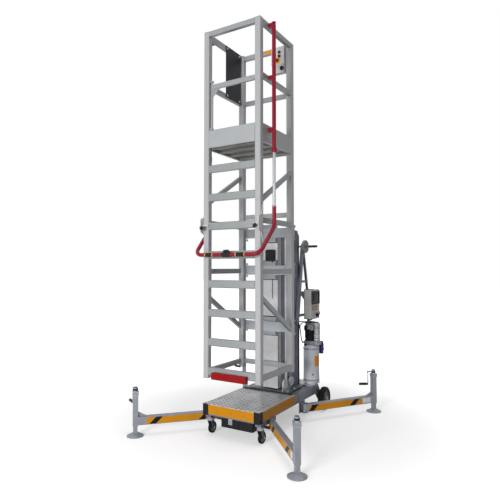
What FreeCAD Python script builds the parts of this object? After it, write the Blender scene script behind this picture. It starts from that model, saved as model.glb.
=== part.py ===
# Vertical mast lift: a ladder cage with a work basket on top rides a telescopic
# mast, which stands on a small wheeled chassis with four swing-out outriggers.
# Millimetres. Origin on the floor at the centre of the four feet, +X to the
# operator's right, +Y to the back, +Z up. The lift stands parked on its jacks.

import FreeCAD, Part
import Sketcher
import math
import os
import re
from FreeCAD import Placement, Rotation, Vector

doc = FreeCAD.newDocument("MastLift")

# %% Driving dimensions

# Columns: name, value, what it is. Lengths in mm, angles in degrees.
SIZES = [
    ("cage_width", 646, "outside width of the ladder cage"),
    ("cage_depth", 698, "outside depth of the ladder cage"),
    ("cage_front", -625, "front face of the cage"),
    ("cage_bottom", 554, "lower end of the cage posts"),
    ("rail_height", 1134, "top of the guard rail above the basket floor"),
    ("mid_rail_height", 580, "lower edge of the mid rail above the basket floor"),
    ("post", 60, "square post of the cage"),
    ("post_bevel", 5, "bevel on the corners of a post"),
    ("rung_first", 582, "lower edge of the lowest rung"),
    ("rung_pitch", 280, "height from one rung to the next"),
    ("rung_count", 8, "rungs on the front"),
    ("rung_tall", 75, "height of a rung"),
    ("rung_thick", 26, "depth of a rung"),
    ("rail_thick", 30, "depth of the cage's side and back rails"),
    ("rail_tall", 50, "height of the cage's side and back rails"),
    ("side_rail_low", 1555, "lower edge of the lower side rail"),
    ("side_rail_high", 2032, "lower edge of the upper side rail"),
    ("back_rail_high", 2140, "lower edge of the upper back rail"),
    ("brace_tall", 48, "height of a diagonal brace, measured upright"),
    ("brace_low_front", 1330, "front end of the lower brace"),
    ("brace_low_back", 985, "back end of the lower brace"),
    ("brace_high_front", 2255, "front end of the upper brace"),
    ("brace_high_back", 2590, "back end of the upper brace"),
    ("floor_under", 2790, "lower edge of the toe boards"),
    ("toe_tall", 170, "height of a toe board"),
    ("toe_thick", 22, "thickness of a toe board"),
    ("floor_lift", 22, "height of the floor ribs under the floor"),
    ("floor_thick", 6, "thickness of the basket floor"),
    ("floor_rib_wide", 30, "width of a floor rib"),
    ("mid_rail_tall", 42, "height of the mid rail"),
    ("top_rail_tall", 48, "height of the top rail"),
    ("guard_rail_thick", 40, "depth of the basket's top and mid rails"),
    ("saddle_low", 995, "middle of the lowest saddle"),
    ("saddle_middle", 1590, "middle of the middle saddle"),
    ("saddle_high", 1985, "middle of the highest saddle"),
    ("saddle_tall", 170, "height of a saddle's webs"),
    ("saddle_sheet", 8, "thickness of a saddle's plates"),
    ("saddle_strip", 100, "height of the cross plate on the cage's back"),
    ("pad_tall", 10, "height of a saddle's rubber pad"),
    ("pad_deep", 30, "depth of a saddle's rubber pad"),
    ("sensor_wide", 100, "width of the box on the middle saddle"),
    ("sensor_deep", 48, "depth of the box on the middle saddle"),
    ("sensor_tall", 125, "height of the box on the middle saddle"),
    ("sensor_left", 31, "how far the box on the middle saddle reaches left"),
    ("sensor_round", 18, "rounding of the box on the middle saddle"),
    ("splice_low", 1850, "lower tip of the splice plates"),
    ("splice_high", 2200, "upper tip of the splice plates"),
    ("splice_thick", 8, "thickness of a splice plate"),
    ("splice_reach", 45, "how far a splice plate stands out in front"),
    ("splice_pin", 9, "radius of a splice pin"),
    ("splice_flat", 60, "half height of a splice plate's straight edge"),
    ("splice_taper", 30, "height of a splice plate's first taper"),
    ("bumper_wide", 380, "width of the red bumper"),
    ("bumper_low", 556, "lower edge of the red bumper"),
    ("bumper_tall", 64, "height of the red bumper"),
    ("bumper_thick", 50, "depth of the red bumper"),
    ("bumper_round", 8, "rounding of the red bumper"),
    ("panel_front", -300, "front edge of the basket's side panel"),
    ("panel_long", 285, "length of the basket's side panel"),
    ("panel_thick", 6, "thickness of the basket's side panel"),
    ("panel_drop", 4, "top of the basket's side panel below the guard rail's top"),
    ("console_left", 112, "left side of the upper control box"),
    ("console_wide", 150, "width of the upper control box"),
    ("console_deep", 62, "depth of the upper control box"),
    ("console_tall", 190, "height of the upper control box"),
    ("console_drop", 27, "top of the upper control box below the guard rail's top"),
    ("console_round", 7, "rounding of the upper control box"),
    ("socket_tall", 84, "height of the socket box under the control box"),
    ("socket_inset", 8, "how far the socket box stands back from the control box"),
    ("socket_across", 123, "middle of the socket from the control box's left side"),
    ("socket_radius", 22, "radius of the socket's collar"),
    ("socket_hole", 15, "radius of the socket's opening"),
    ("socket_out", 14, "how far the socket's collar stands out"),
    ("button_across", 95, "middle of the push buttons from the control box's left side"),
    ("button_drop", 60, "upper push button below the control box's top"),
    ("button_pitch", 41, "distance between the push buttons"),
    ("button_radius", 12, "radius of a push button"),
    ("button_rim", 4, "width of a push button's collar"),
    ("button_out", 14, "how far a push button stands out"),
    ("stop_across", 74, "middle of the stop button from the control box's left side"),
    ("stop_drop", 145, "stop button below the control box's top"),
    ("stop_disc", 32, "radius of the disc behind the stop button"),
    ("stop_disc_thick", 3, "thickness of the disc behind the stop button"),
    ("stop_radius", 20, "radius of the stop button's head"),
    ("stop_neck", 11, "radius of the stop button's neck"),
    ("stop_out", 24, "how far the stop button stands out"),
    ("gate_bar_drop", 24, "lower edge of the gate bar below the mid rail"),
    ("gate_bar_tall", 46, "height of the gate bar"),
    ("gate_bar_thick", 24, "depth of the gate bar"),
    ("gate_hinge_x", -243, "hinge line of the gate"),
    ("gate_leg_radius", 11, "radius of the gate's leg"),
    ("gate_leg_lift", 25, "lower end of the gate's leg above the toe board"),
    ("gate_leg_over", 26, "height of the gate's leg above its bar"),
    ("gate_gusset", 95, "length of the gate's gusset"),
    ("gate_gap", 6, "gap between the gate and the posts"),
    ("hinge_pin_long", 20, "depth of a hinge pin in the gate's leg"),
    ("hinge_lug", 12, "thickness of a hinge lug"),
    ("hinge_lug_wide", 28, "depth of a hinge lug"),
    ("stop_long", 26, "length of the gate's stop"),
    ("stop_thick", 6, "thickness of the gate's stop and gusset"),
    ("hinge_pin", 5, "radius of the gate's hinge pins"),
    ("cut_over", 1, "a small step: a cut past its face, or a pin or hose short of an edge"),
    ("running_fit", 0.05, "radial clearance of a pin or axle in its bore"),
    ("slide_fit", 0.3, "clearance of a sliding face"),
    ("guard_x", 375, "side position of the guard bar's legs"),
    ("guard_y", -455, "depth position of the guard bar's legs"),
    ("guard_radius", 19, "radius of the red guard tube"),
    ("guard_rod", 15, "radius of the bright guard rod"),
    ("rod_in_sleeve", 670, "length of the guard rod inside its sleeve when the bar is down"),
    ("sleeve_drop", 90, "lower end of the guard bar's sleeve below the basket"),
    ("sleeve_reach", 27, "upper end of the guard bar's sleeve below the guard rail's top"),
    ("sleeve_end", 8, "thickness of the closed upper end of a sleeve"),
    ("sleeve_clamp", 6, "how far the clamp at a sleeve's foot stands out"),
    ("sleeve_clamp_tall", 45, "height of the clamp at a sleeve's foot"),
    ("lug_wide", 32, "depth of a lug between sleeve and post"),
    ("lug_tall", 40, "height of a lug between sleeve and post"),
    ("lug_drop", 60, "lowest lug below the toe board's top"),
    ("guard_travel", 480, "travel of the guard bar"),
    ("guard_stop", 20, "gap left above the red tube at the top of its travel"),
    ("guard_straight", 200, "straight upper part of the red guard tube"),
    ("guard_fall", 262, "height of the sloping part of the guard bar"),
    ("guard_front_x", 362, "side position of the guard bar's front corner"),
    ("guard_front_y", -708, "depth position of the guard bar's front"),
    ("guard_bend", 85, "radius of the guard bar's bends"),
    ("mast_front", 139, "front face of the front column"),
    ("stage_deep", 82, "depth of a mast section"),
    ("stage_gap", 5, "gap from one mast section to the next"),
    ("stage_half", 166, "half width of a mast section"),
    ("front_half", 92, "half width of the front column"),
    ("stage_wall", 9, "wall of a mast section"),
    ("stage_bottom", 319, "lower end of the fixed mast section"),
    ("mast_top", 2030, "top of the mast"),
    ("stage_lift", 5, "height of each moving section's foot above the one behind"),
    ("tongue_x", 62, "side position of the guide tongues"),
    ("tongue_neck", 6, "half width of a guide tongue's neck"),
    ("tongue_head", 12, "half width of a guide tongue's head"),
    ("tongue_neck_deep", 9, "depth of the neck inside the groove"),
    ("tongue_head_deep", 8, "depth of a guide tongue's head"),
    ("rib_deep", 6, "depth of the grooves along a mast section's flank"),
    ("slot_x", 122, "side position of the small slots in a mast section's front"),
    ("slot_half", 4, "half width of a small slot"),
    ("slot_deep", 4, "depth of a small slot"),
    ("duct_half", 166, "half width of the cable duct behind the mast"),
    ("duct_deep", 34, "depth of the cable duct"),
    ("duct_top", 2005, "top of the cable duct"),
    ("duct_bevel", 30, "bevel at the top of the cable duct"),
    ("foot_plate_wider", 60, "how far the mast's foot plate reaches out at each side"),
    ("foot_plate_ahead", 20, "how far the mast's foot plate reaches out in front"),
    ("foot_plate_behind", 10, "how far the mast's foot plate reaches out behind the duct"),
    ("sheave_radius", 46, "radius of a foot sheave"),
    ("sheave_groove", 39, "radius at the bottom of a foot sheave's groove"),
    ("sheave_rim", 6, "thickness of a foot sheave's rim under its groove"),
    ("sheave_wide", 18, "width of a foot sheave"),
    ("sheave_web", 8, "thickness of a foot sheave's web"),
    ("sheave_hub", 15, "radius of a foot sheave's hub"),
    ("sheave_front", -29, "front foot sheave behind the mast's front face"),
    ("sheave_back", 118, "back foot sheave behind the mast's front face"),
    ("sheave_lift", 85, "height of the foot sheaves above the mast's foot plate"),
    ("sheave_pin", 8, "radius of a foot sheave's pin"),
    ("sheave_gap", 2, "gap between a foot sheave and its bracket"),
    ("bracket_gap", 6, "gap between the sheave bracket and the mast's flank"),
    ("bracket_thick", 8, "thickness of the sheave bracket"),
    ("bracket_over", 25, "height of the sheave bracket above the sheaves' pins"),
    ("deck_half", 310, "half width of the deck"),
    ("deck_top", 307, "top of the deck"),
    ("deck_thick", 5, "thickness of the deck plate"),
    ("deck_back", 100, "back edge of the front deck plate"),
    ("shelf_front", 535, "front edge of the rear shelf plate"),
    ("shelf_back", 765, "back edge of the rear shelf plate"),
    ("beam_low", 203, "underside of the chassis beams"),
    ("beam_wide", 60, "width of a chassis beam"),
    ("frame_back", 680, "back end of the chassis beams"),
    ("deck_cross_ahead", 75, "front of the cross beam under the deck's back, ahead of the mast"),
    ("mast_cross_ahead", 40, "front of the cross beam under the mast, ahead of the mast's back"),
    ("band_drop", 5, "top of the coloured bands below the deck's top"),
    ("band_thick", 3, "thickness of the coloured edge bands"),
    ("band_low", 215, "lower edge of the coloured bands"),
    ("corner_long", 55, "length of a corner guard's leg"),
    ("corner_thick", 7, "thickness of a corner guard"),
    ("case_half", 180, "half width of the case under the deck"),
    ("case_front", -525, "front of the case under the deck"),
    ("case_back", -60, "back of the case under the deck"),
    ("case_low", 78, "underside of the case under the deck"),
    ("case_round", 14, "rounding of the case's upright corners"),
    ("cable_radius", 7, "radius of the cable along the deck's back edge"),
    ("cable_inset", 26, "middle of the cable in front of the deck's back edge"),
    ("cable_half", 296, "half length of the cable along the deck's back edge"),
    ("cable_sway", 6, "how far the cable wanders to the front"),
    ("castor_in", 30, "swivel line of a castor in from the deck's side"),
    ("castor_y", -555, "swivel line of a castor, front to back"),
    ("castor_radius", 55, "radius of a castor wheel"),
    ("castor_wide", 30, "width of a castor wheel"),
    ("castor_trail", 30, "trail of a castor wheel behind its swivel line"),
    ("wheel_lift", 3, "height of the wheels above the floor when parked"),
    ("castor_plate", 6, "thickness of the castor's fork sheet"),
    ("castor_top", 168, "height of the castor's top plate"),
    ("mount_long", 80, "length of the block between castor and beam"),
    ("castor_axle", 5, "radius of a castor's axle"),
    ("castor_axle_out", 4, "how far a castor's axle stands out of its fork"),
    ("castor_gap", 3, "gap between a castor wheel's tread and its fork"),
    ("castor_head", 24, "radius of a castor's swivel head"),
    ("castor_head_tall", 26, "height of a castor's swivel head"),
    ("castor_crown_ahead", 22, "how far a castor's crown reaches in front of its swivel line"),
    ("castor_crown_long", 50, "length of a castor's crown"),
    ("castor_cheek", 13, "half width of a castor fork's cheek at the axle"),
    ("castor_hub", 14, "radius of a castor wheel's hub"),
    ("castor_web", 8, "half thickness of a castor wheel's web"),
    ("castor_tyre", 14, "thickness of a castor wheel's tyre"),
    ("castor_edge", 5, "bevel of a castor wheel's edge"),
    ("wheel_out", 42, "middle of a rear wheel out from the chassis side plate"),
    ("wheel_y", 755, "axle line of the rear wheels"),
    ("wheel_radius", 127, "radius of a rear wheel"),
    ("wheel_wide", 62, "width of a rear wheel"),
    ("rim_radius", 78, "radius of a rear wheel's rim"),
    ("tyre_edge", 8, "bevel at a rear tyre's bead and shoulder"),
    ("tyre_crown", 20, "how far in from a rear tyre's side its flat tread starts"),
    ("rim_wall", 7, "thickness of a rear wheel's rim"),
    ("rim_dish", 24, "how far in from a rear wheel's side its disc lies"),
    ("hub_radius", 30, "radius of a rear wheel's hub boss"),
    ("hub_flare", 4, "how much wider the hub boss is at the disc"),
    ("axle_radius", 11, "radius of the rear axle stubs"),
    ("side_plate", 8, "thickness of the chassis side plates"),
    ("front_pivot_in", 10, "pivot of a front outrigger in from the deck's side"),
    ("front_pivot_y", -375, "pivot of a front outrigger, front to back"),
    ("rear_pivot_out", 34, "pivot of a rear outrigger out from the chassis side plate"),
    ("rear_pivot_y", 255, "pivot of a rear outrigger, front to back"),
    ("foot_x", 860, "side position of the feet"),
    ("foot_y", 985, "front and back position of the feet"),
    ("arm_low", 105, "underside of an outrigger arm"),
    ("arm_tall", 80, "height of an outrigger arm"),
    ("arm_wide", 50, "width of an outrigger arm"),
    ("ear_thick", 8, "thickness of the pivot ears"),
    ("ear_gap", 0.3, "clearance between an arm and its ears"),
    ("ear_radius", 32, "radius of the pivot ears"),
    ("ear_arm_wide", 60, "depth of a front ear's arm"),
    ("ear_arm_long", 85, "length of a front ear's arm"),
    ("ear_web", 10, "thickness of the web between two front ears"),
    ("ear_plate_ahead", 60, "how far a rear ear's plate reaches in front of the pivot"),
    ("ear_plate_long", 130, "length of a rear ear's plate"),
    ("axle_plate_ahead", 70, "front of a wheel's plate ahead of the beam's back end"),
    ("axle_plate_half", 38, "how far a wheel's plate reaches in front of the axle"),
    ("axle_plate_under", 28, "how far a wheel's plate reaches below the axle"),
    ("axle_plate_behind", 30, "how far a wheel's plate reaches behind the axle"),
    ("axle_collar", 7, "how far the rear axle's collars stand out"),
    ("axle_cap", 6, "thickness of the rear axle's cap"),
    ("pivot_pin", 10, "radius of an outrigger's pivot pin"),
    ("jack_tube", 50, "square outer tube of a jack"),
    ("jack_low", 95, "lower end of a jack's outer tube"),
    ("jack_high", 425, "upper end of a jack's outer tube"),
    ("jack_head", 465, "top of a jack's head"),
    ("jack_collar", 4, "how far a jack's collar stands out"),
    ("jack_collar_tall", 40, "height of a jack's collar"),
    ("jack_head_radius", 22, "radius of a jack's head"),
    ("jack_head_bevel", 5, "bevel at the top of a jack's head"),
    ("jack_roof", 20, "thickness of the roof over a jack's inner tube"),
    ("jack_wall", 4.7, "wall of a jack's outer tube"),
    ("leg_tube", 40, "square inner tube of a jack"),
    ("leg_top", 350, "upper end of a jack's inner tube at rest"),
    ("foot_radius", 80, "radius of a foot"),
    ("foot_rim", 9, "height of a foot's rim"),
    ("foot_high", 34, "height of a foot's cone"),
    ("crank_long", 145, "length of a crank arm"),
    ("crank_flat", 16, "width of a crank arm"),
    ("crank_thick", 7, "thickness of a crank arm"),
    ("crank_out", 34, "distance of a crank arm from the jack's face"),
    ("grip_long", 95, "length of a crank's grip"),
    ("grip_radius", 13, "radius of a crank's grip"),
    ("grip_lift", 8, "height of a crank's grip above the arm's end"),
    ("crank_shaft", 7, "radius of a crank's shaft"),
    ("crank_over", 10, "height of a crank arm above its shaft"),
    ("gusset_long", 90, "length of the gusset between arm and jack"),
    ("gusset_tall", 46, "height of the gusset between arm and jack"),
    ("gusset_thick", 8, "thickness of the gusset between arm and jack"),
    ("tank_x", 245, "centre of the hydraulic tank, sideways"),
    ("tank_y", 662, "centre of the hydraulic tank, front to back"),
    ("tank_radius", 90, "radius of the hydraulic tank"),
    ("tank_top", 740, "top of the hydraulic tank"),
    ("tank_foot", 10, "height of the ring under the hydraulic tank"),
    ("tank_shoulder", 20, "width of the shoulder at the tank's top and of its foot"),
    ("tank_bevel", 12, "bevel at the tank's lower edge"),
    ("block_tall", 46, "height of the valve block on the tank"),
    ("block_left", 70, "how far the valve block reaches inwards from the tank's centre"),
    ("block_right", 98, "how far the valve block reaches outwards from the tank's centre"),
    ("block_half", 44, "half depth of the valve block"),
    ("motor_shift", 17, "how far the pump motor stands inwards of the tank's centre"),
    ("filter_shift", 67, "how far the oil filter stands outwards of the tank's centre"),
    ("motor_radius", 50, "radius of the pump motor"),
    ("motor_top", 965, "top of the pump motor"),
    ("motor_bevel", 13, "bevel at the pump motor's top"),
    ("filter_radius", 30, "radius of the oil filter"),
    ("filter_top", 905, "top of the oil filter"),
    ("filter_cap", 32, "height of the oil filter's cap"),
    ("filter_step", 5, "how much narrower the oil filter's cap and foot are"),
    ("hose_radius", 6, "radius of a hydraulic hose"),
    ("hose_bend", 28, "radius of a hydraulic hose's bends"),
    ("hose_out", 60, "how far the hoses run behind the duct before they turn"),
    ("hose_high", 1004, "height of the upper hose at the duct"),
    ("hose_low", 972, "height of the lower hose at the duct"),
    ("hose_inset", 8, "middle of the upper hose from the valve block's corner faces"),
    ("hose_side", 36, "how far the lower hose runs beside the valve block"),
    ("inlet_x", 328, "middle of the power inlet, sideways"),
    ("inlet_behind", 50, "middle of the power inlet behind the valve block"),
    ("inlet_radius", 27, "radius of the power inlet's body"),
    ("inlet_collar", 31, "radius of the power inlet's collar"),
    ("inlet_mouth", 24, "radius of the power inlet's mouth"),
    ("inlet_top", 775, "top of the power inlet"),
    ("inlet_tall", 135, "height of the power inlet"),
    ("inlet_arm", 14, "thickness of the power inlet's arm"),
    ("cabinet_left", 184, "inner side of the control cabinet"),
    ("cabinet_wide", 89, "width of the control cabinet"),
    ("cabinet_front", 600, "front of the control cabinet"),
    ("cabinet_long", 235, "length of the control cabinet"),
    ("cabinet_low", 1030, "underside of the control cabinet"),
    ("cabinet_tall", 333, "height of the control cabinet"),
    ("cabinet_round", 12, "rounding of the control cabinet"),
    ("window_inset", 7, "display hood in from the cabinet's ends"),
    ("window_drop", 16, "display hood below the cabinet's top"),
    ("window_tall", 150, "height of the display hood"),
    ("window_rim", 12, "width of the display hood's rim"),
    ("window_out", 8, "how far the display hood stands out"),
    ("window_glass", 3, "thickness of the display's window"),
    ("selector_along", 155, "middle of the selector knob behind the cabinet's front"),
    ("selector_lift", 42, "height of the selector knob above the cabinet's underside"),
    ("selector_radius", 18, "radius of the selector knob"),
    ("selector_base", 24, "radius of the selector knob's base"),
    ("selector_out", 24, "how far the selector knob stands out"),
    ("load_wheel_radius", 73, "radius of a loading wheel"),
    ("load_wheel_wide", 30, "width of a loading wheel"),
    ("load_wheel_x", 212, "side position of a loading wheel"),
    ("load_wheel_y", 578, "depth position of the loading wheels"),
    ("load_wheel_z", 1856, "height of the loading wheels"),
    ("load_hub_radius", 26, "radius of a loading wheel's hub"),
    ("load_web", 9, "half thickness of a loading wheel's web"),
    ("load_tyre", 14, "thickness of a loading wheel's tyre"),
    ("load_edge", 5, "bevel of a loading wheel's edge"),
    ("push_axle", 9, "radius of the push frame's axle"),
    ("push_axle_out", 130, "how far the push frame's axle reaches past a wheel"),
    ("push_collar", 13, "radius of the collars on the push frame's axle"),
    ("push_low", 1000, "foot of the push frame on the mast"),
    ("strut_front", 407, "front of a strut at its foot"),
    ("strut_deep", 54, "depth of a strut"),
    ("strut_thick", 24, "width of a strut"),
    ("strut_boss", 27, "radius of the boss round the axle at a strut's top"),
    ("leg_deep", 24, "depth of the leg down to the cabinet"),
    ("leg_back", 700, "middle of the leg where it meets the cabinet"),
    ("link_low", 1446, "underside of the link between strut and leg"),
    ("link_tall", 26, "height of the link between strut and leg"),
    ("link_inset", 5, "how far the link stands in from the strut's sides"),
    ("shelf_wide", 70, "width of the plate on top of the cabinet"),
    ("shelf_long", 120, "length of the plate on top of the cabinet"),
    ("shelf_thick", 6, "thickness of the plates that hold the cabinet"),
    ("stay_low", 1068, "underside of the cabinet's lower stay"),
    ("stay_tall", 28, "height of the cabinet's lower stay"),
    ("strap_high", 1352, "upper end of the strap between strut and cabinet"),
    ("strap_low", 1250, "lower end of the strap on the cabinet"),
]

sheet = doc.addObject("Spreadsheet::Sheet", "sizes")
for row, (alias, value, meaning) in enumerate(SIZES, start=1):
    sheet.set(f"A{row}", meaning)
    sheet.set(f"B{row}", str(value))
    sheet.setAlias(f"B{row}", alias)
doc.recompute()

ALIASES = {alias for alias, value, meaning in SIZES}

# Places worked out from the sizes. Each name can be used in a formula.
PLACES = {
    "cage_half": "cage_width / 2",
    "cage_back": "cage_front + cage_depth",
    "post_x": "cage_half - post / 2",
    "inner_x": "cage_half - post",
    "front_post_y": "cage_front + post / 2",
    "back_post_y": "cage_back - post / 2",
    "bay_front": "cage_front + post",
    "bay_long": "cage_depth - 2 * post",
    "toe_top": "floor_under + toe_tall",
    "floor_low": "floor_under + floor_lift",
    "floor_top": "floor_low + floor_thick",
    "cage_top": "floor_top + rail_height",
    "mid_rail_low": "floor_top + mid_rail_height",
    "top_rail_low": "cage_top - top_rail_tall",
    "console_top": "cage_top - console_drop",
    "gate_bar_low": "mid_rail_low - gate_bar_drop",
    "gate_leg_low": "toe_top + gate_leg_lift",
    "gate_leg_top": "gate_bar_low + gate_bar_tall + gate_leg_over",
    "sleeve_low": "floor_under - sleeve_drop",
    "sleeve_top": "cage_top - sleeve_reach",
    "guard_rod_top": "sleeve_low + rod_in_sleeve",
    "guard_shoulder": "sleeve_low - guard_travel - guard_stop",
    "guard_knee": "guard_shoulder - guard_straight",
    "guard_front_z": "guard_knee - guard_fall",
    "stage_step": "stage_deep + stage_gap",
    "mast_back": "mast_front + 4 * stage_deep + 3 * stage_gap",
    "groove_neck": "tongue_neck + slide_fit",
    "groove_head": "tongue_head + slide_fit",
    "lip": "tongue_neck_deep - slide_fit",
    "groove_end": "tongue_neck_deep + tongue_head_deep + slide_fit",
    "beam_tall": "deck_top - deck_thick - beam_low",
    "beam_x": "deck_half - beam_wide",
    "beam_top": "deck_top - deck_thick",
    "castor_axle_z": "castor_radius + wheel_lift",
    "wheel_z": "wheel_radius + wheel_lift",
    "arm_top": "arm_low + arm_tall",
    "ear_top_low": "arm_top + ear_gap",
    "ear_bottom_low": "arm_low - ear_gap - ear_thick",
    "plate_out": "deck_half + side_plate",
    "castor_x": "deck_half - castor_in",
    "wheel_x": "plate_out + wheel_out",
    "front_pivot_x": "deck_half - front_pivot_in",
    "rear_pivot_x": "plate_out + rear_pivot_out",
    "tank_low": "deck_top + tank_foot",
    "block_low": "tank_top",
    "block_top": "tank_top + block_tall",
    "cabinet_top": "cabinet_low + cabinet_tall",
    "cabinet_face": "cabinet_left + cabinet_wide",
    "console_low": "console_top - console_tall",
    "console_face": "cage_back - guard_rail_thick - console_deep",
    "duct_back": "mast_back + duct_deep",
    "sheave_z": "stage_bottom + sheave_lift",
    "bracket_in": "stage_half + bracket_gap",
    "sheave_in": "bracket_in + bracket_thick + sheave_gap",
    "load_wheel_in": "load_wheel_x - load_wheel_wide / 2",
    "strut_out": "stage_half + strut_thick",
}


def formula(text):
    """Spell out the places in a formula and look its sizes up in the sheet."""
    def spell(match):
        word = match.group(0)
        if word in PLACES:
            return "(" + formula(PLACES[word]) + ")"
        if word in ALIASES:
            return "sizes." + word
        return word
    return re.sub(r"[A-Za-z_]\w*", spell, str(text))


def number(text):
    """The value of a formula now, for the few shapes that are made directly."""
    value = sheet.evalExpression(formula(text))
    return float(getattr(value, "Value", value))


# %% Building blocks

TURN_TO_X = Rotation(Vector(0, 1, 0), 90)
TURN_TO_FRONT = Rotation(Vector(1, 0, 0), 90)
NO_TURN = Rotation()


def bind(item, **formulas):
    """Bind properties to formulas; a double underscore stands for a dot."""
    for path, text in formulas.items():
        item.setExpression(path.replace("__", "."), formula(text))
    return item


def place(item, at, turn=NO_TURN, spin=None):
    """Bind the place of an item, and its turn about +Z where spin is given."""
    item.Placement = Placement(Vector(), turn)
    x, y, z = at
    bind(item, Placement__Base__x=x, Placement__Base__y=y, Placement__Base__z=z)
    if spin is not None:
        item.Placement = Placement(Vector(), Rotation(Vector(0, 0, 1), 10))
        bind(item, Placement__Rotation__Angle=spin)
    return item


def box(name, at, size):
    """A box from its lowest corner."""
    item = doc.addObject("Part::Box", name)
    length, width, height = size
    bind(item, Length=length, Width=width, Height=height)
    return place(item, at)


def rod(name, at, radius, length, turn=NO_TURN):
    """A round bar from the centre of its first end face."""
    item = doc.addObject("Part::Cylinder", name)
    bind(item, Radius=radius, Height=length)
    return place(item, at, turn)


def cut(name, base, tools):
    """A base with tools taken out of it."""
    item = doc.addObject("Part::Cut", name)
    item.Base = base
    item.Tool = tools[0] if len(tools) == 1 else fuse(name + "_tools", tools)
    return item


def fuse(name, items):
    """Pieces welded into one solid."""
    item = doc.addObject("Part::MultiFuse", name)
    item.Shapes = items
    item.Refine = True
    return item


def origin_plane(body, role):
    """One of the body's own planes, such as XY_Plane."""
    return next(plane for plane in body.Origin.OriginFeatures if plane.Role == role)


def outline_sketch(body, name, role, outlines):
    """A sketch of closed outlines whose corners are bound to formulas."""
    sketch = body.newObject("Sketcher::SketchObject", name)
    sketch.AttachmentSupport = [(origin_plane(body, role), "")]
    sketch.MapMode = "FlatFace"
    for corners in outlines:
        values = [Vector(number(u), number(v), 0) for u, v in corners]
        first = sketch.GeometryCount
        count = len(corners)
        for index in range(count):
            line = Part.LineSegment(values[index], values[(index + 1) % count])
            sketch.addGeometry(line, False)
        for index in range(count):
            following = first + (index + 1) % count
            joint = Sketcher.Constraint("Coincident", first + index, 2, following, 1)
            sketch.addConstraint(joint)
        for index, (u, v) in enumerate(corners):
            for kind, text, value in (("DistanceX", u, values[index].x), ("DistanceY", v, values[index].y)):
                rule = Sketcher.Constraint(kind, -1, 1, first + index, 1, value)
                slot = sketch.addConstraint(rule)
                sketch.setExpression(f"Constraints[{slot}]", formula(text))
    return sketch


def extrusion(name, role, outlines, length, at=(0, 0, 0), spin=None):
    """An outline drawn out: XY_Plane upwards, XZ_Plane to the back, YZ_Plane to +X."""
    body = doc.addObject("PartDesign::Body", name)
    sketch = outline_sketch(body, name + "_outline", role, outlines)
    pad = body.newObject("PartDesign::Pad", name + "_pad")
    pad.Profile = sketch
    pad.Reversed = role == "XZ_Plane"
    bind(pad, Length=length)
    return place(body, at, spin=spin)


def turned(name, outline, at, turn=NO_TURN):
    """A closed outline of radius and height, revolved about the upright axis."""
    body = doc.addObject("PartDesign::Body", name)
    sketch = outline_sketch(body, name + "_outline", "XZ_Plane", [outline])
    revolution = body.newObject("PartDesign::Revolution", name + "_turn")
    revolution.Profile = sketch
    revolution.ReferenceAxis = (sketch, ["V_Axis"])
    revolution.Angle = 360
    return place(body, at, turn)


def rounded(body, radius, axis):
    """Round the edges of a body's pad that run along an axis."""
    doc.recompute()
    pad = body.Tip
    names = []
    for index, edge in enumerate(pad.Shape.Edges, start=1):
        start, end = edge.Vertexes[0].Point, edge.Vertexes[-1].Point
        if abs((end - start).normalize().dot(axis)) > 0.99:
            names.append(f"Edge{index}")
    fillet = body.newObject("PartDesign::Fillet", body.Name + "_rounding")
    fillet.Base = (pad, names)
    bind(fillet, Radius=radius)
    body.Tip = fillet
    return body


def block(name, at, size, radius, axis):
    """A box from its lowest corner whose edges along one axis are rounded."""
    length, width, height = size
    corners = [("0", "0"), (length, "0"), (length, width), ("0", width)]
    return rounded(extrusion(name, "XY_Plane", [corners], height, at), radius, axis)


def rounded_path(points, radius):
    """A path of straight runs joined by arcs of one radius."""
    edges = []
    start = points[0]
    for before, corner, after in zip(points, points[1:], points[2:]):
        back = (before - corner).normalize()
        ahead = (after - corner).normalize()
        half_angle = back.getAngle(ahead) / 2
        reach = radius / math.tan(half_angle)
        first = corner + back * reach
        last = corner + ahead * reach
        inward = (back + ahead).normalize()
        middle = corner + inward * (radius / math.sin(half_angle) - radius)
        edges.append(Part.LineSegment(start, first).toShape())
        edges.append(Part.Arc(first, middle, last).toShape())
        start = last
    edges.append(Part.LineSegment(start, points[-1]).toShape())
    return Part.Wire(edges)


def pipe(name, route, radius, bend):
    """A round pipe along a route of formulas, with bends of one radius."""
    points = [Vector(*(number(text) for text in point)) for point in route]
    path = rounded_path(points, number(bend))
    ahead = (points[1] - points[0]).normalize()
    section = Part.Wire(Part.Circle(points[0], ahead, number(radius)).toShape())
    item = doc.addObject("Part::Feature", name)
    item.Shape = path.makePipeShell([section], True, False)
    return item


NODES = []


def node(label, pieces):
    """Name a sub-part: one piece, or like pieces that don't touch."""
    if len(pieces) == 1:
        item = pieces[0]
    else:
        item = doc.addObject("Part::Compound", label + "_set")
        item.Links = pieces
    item.Label = label
    NODES.append(item)


SIDES = (("left", -1), ("right", 1))
X_AXIS = Vector(1, 0, 0)
Y_AXIS = Vector(0, 1, 0)
Z_AXIS = Vector(0, 0, 1)


# %% Ladder cage


def bevelled_square(size, bevel):
    """A square about the origin with its corners cut off."""
    half = f"{size} / 2"
    near = f"{size} / 2 - {bevel}"
    return [
        (f"-({near})", f"-({half})"), (near, f"-({half})"), (half, f"-({near})"), (half, near),
        (near, half), (f"-({near})", half), (f"-({half})", near), (f"-({half})", f"-({near})"),
    ]


def cage_posts():
    pieces = []
    for side, sign in SIDES:
        for end, y in (("front", "front_post_y"), ("back", "back_post_y")):
            pieces.append(extrusion(
                f"post_{end}_{side}", "XY_Plane", [bevelled_square("post", "post_bevel")],
                "cage_top - cage_bottom", (f"{sign} * post_x", y, "cage_bottom")))
    node("cage_posts", pieces)


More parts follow.
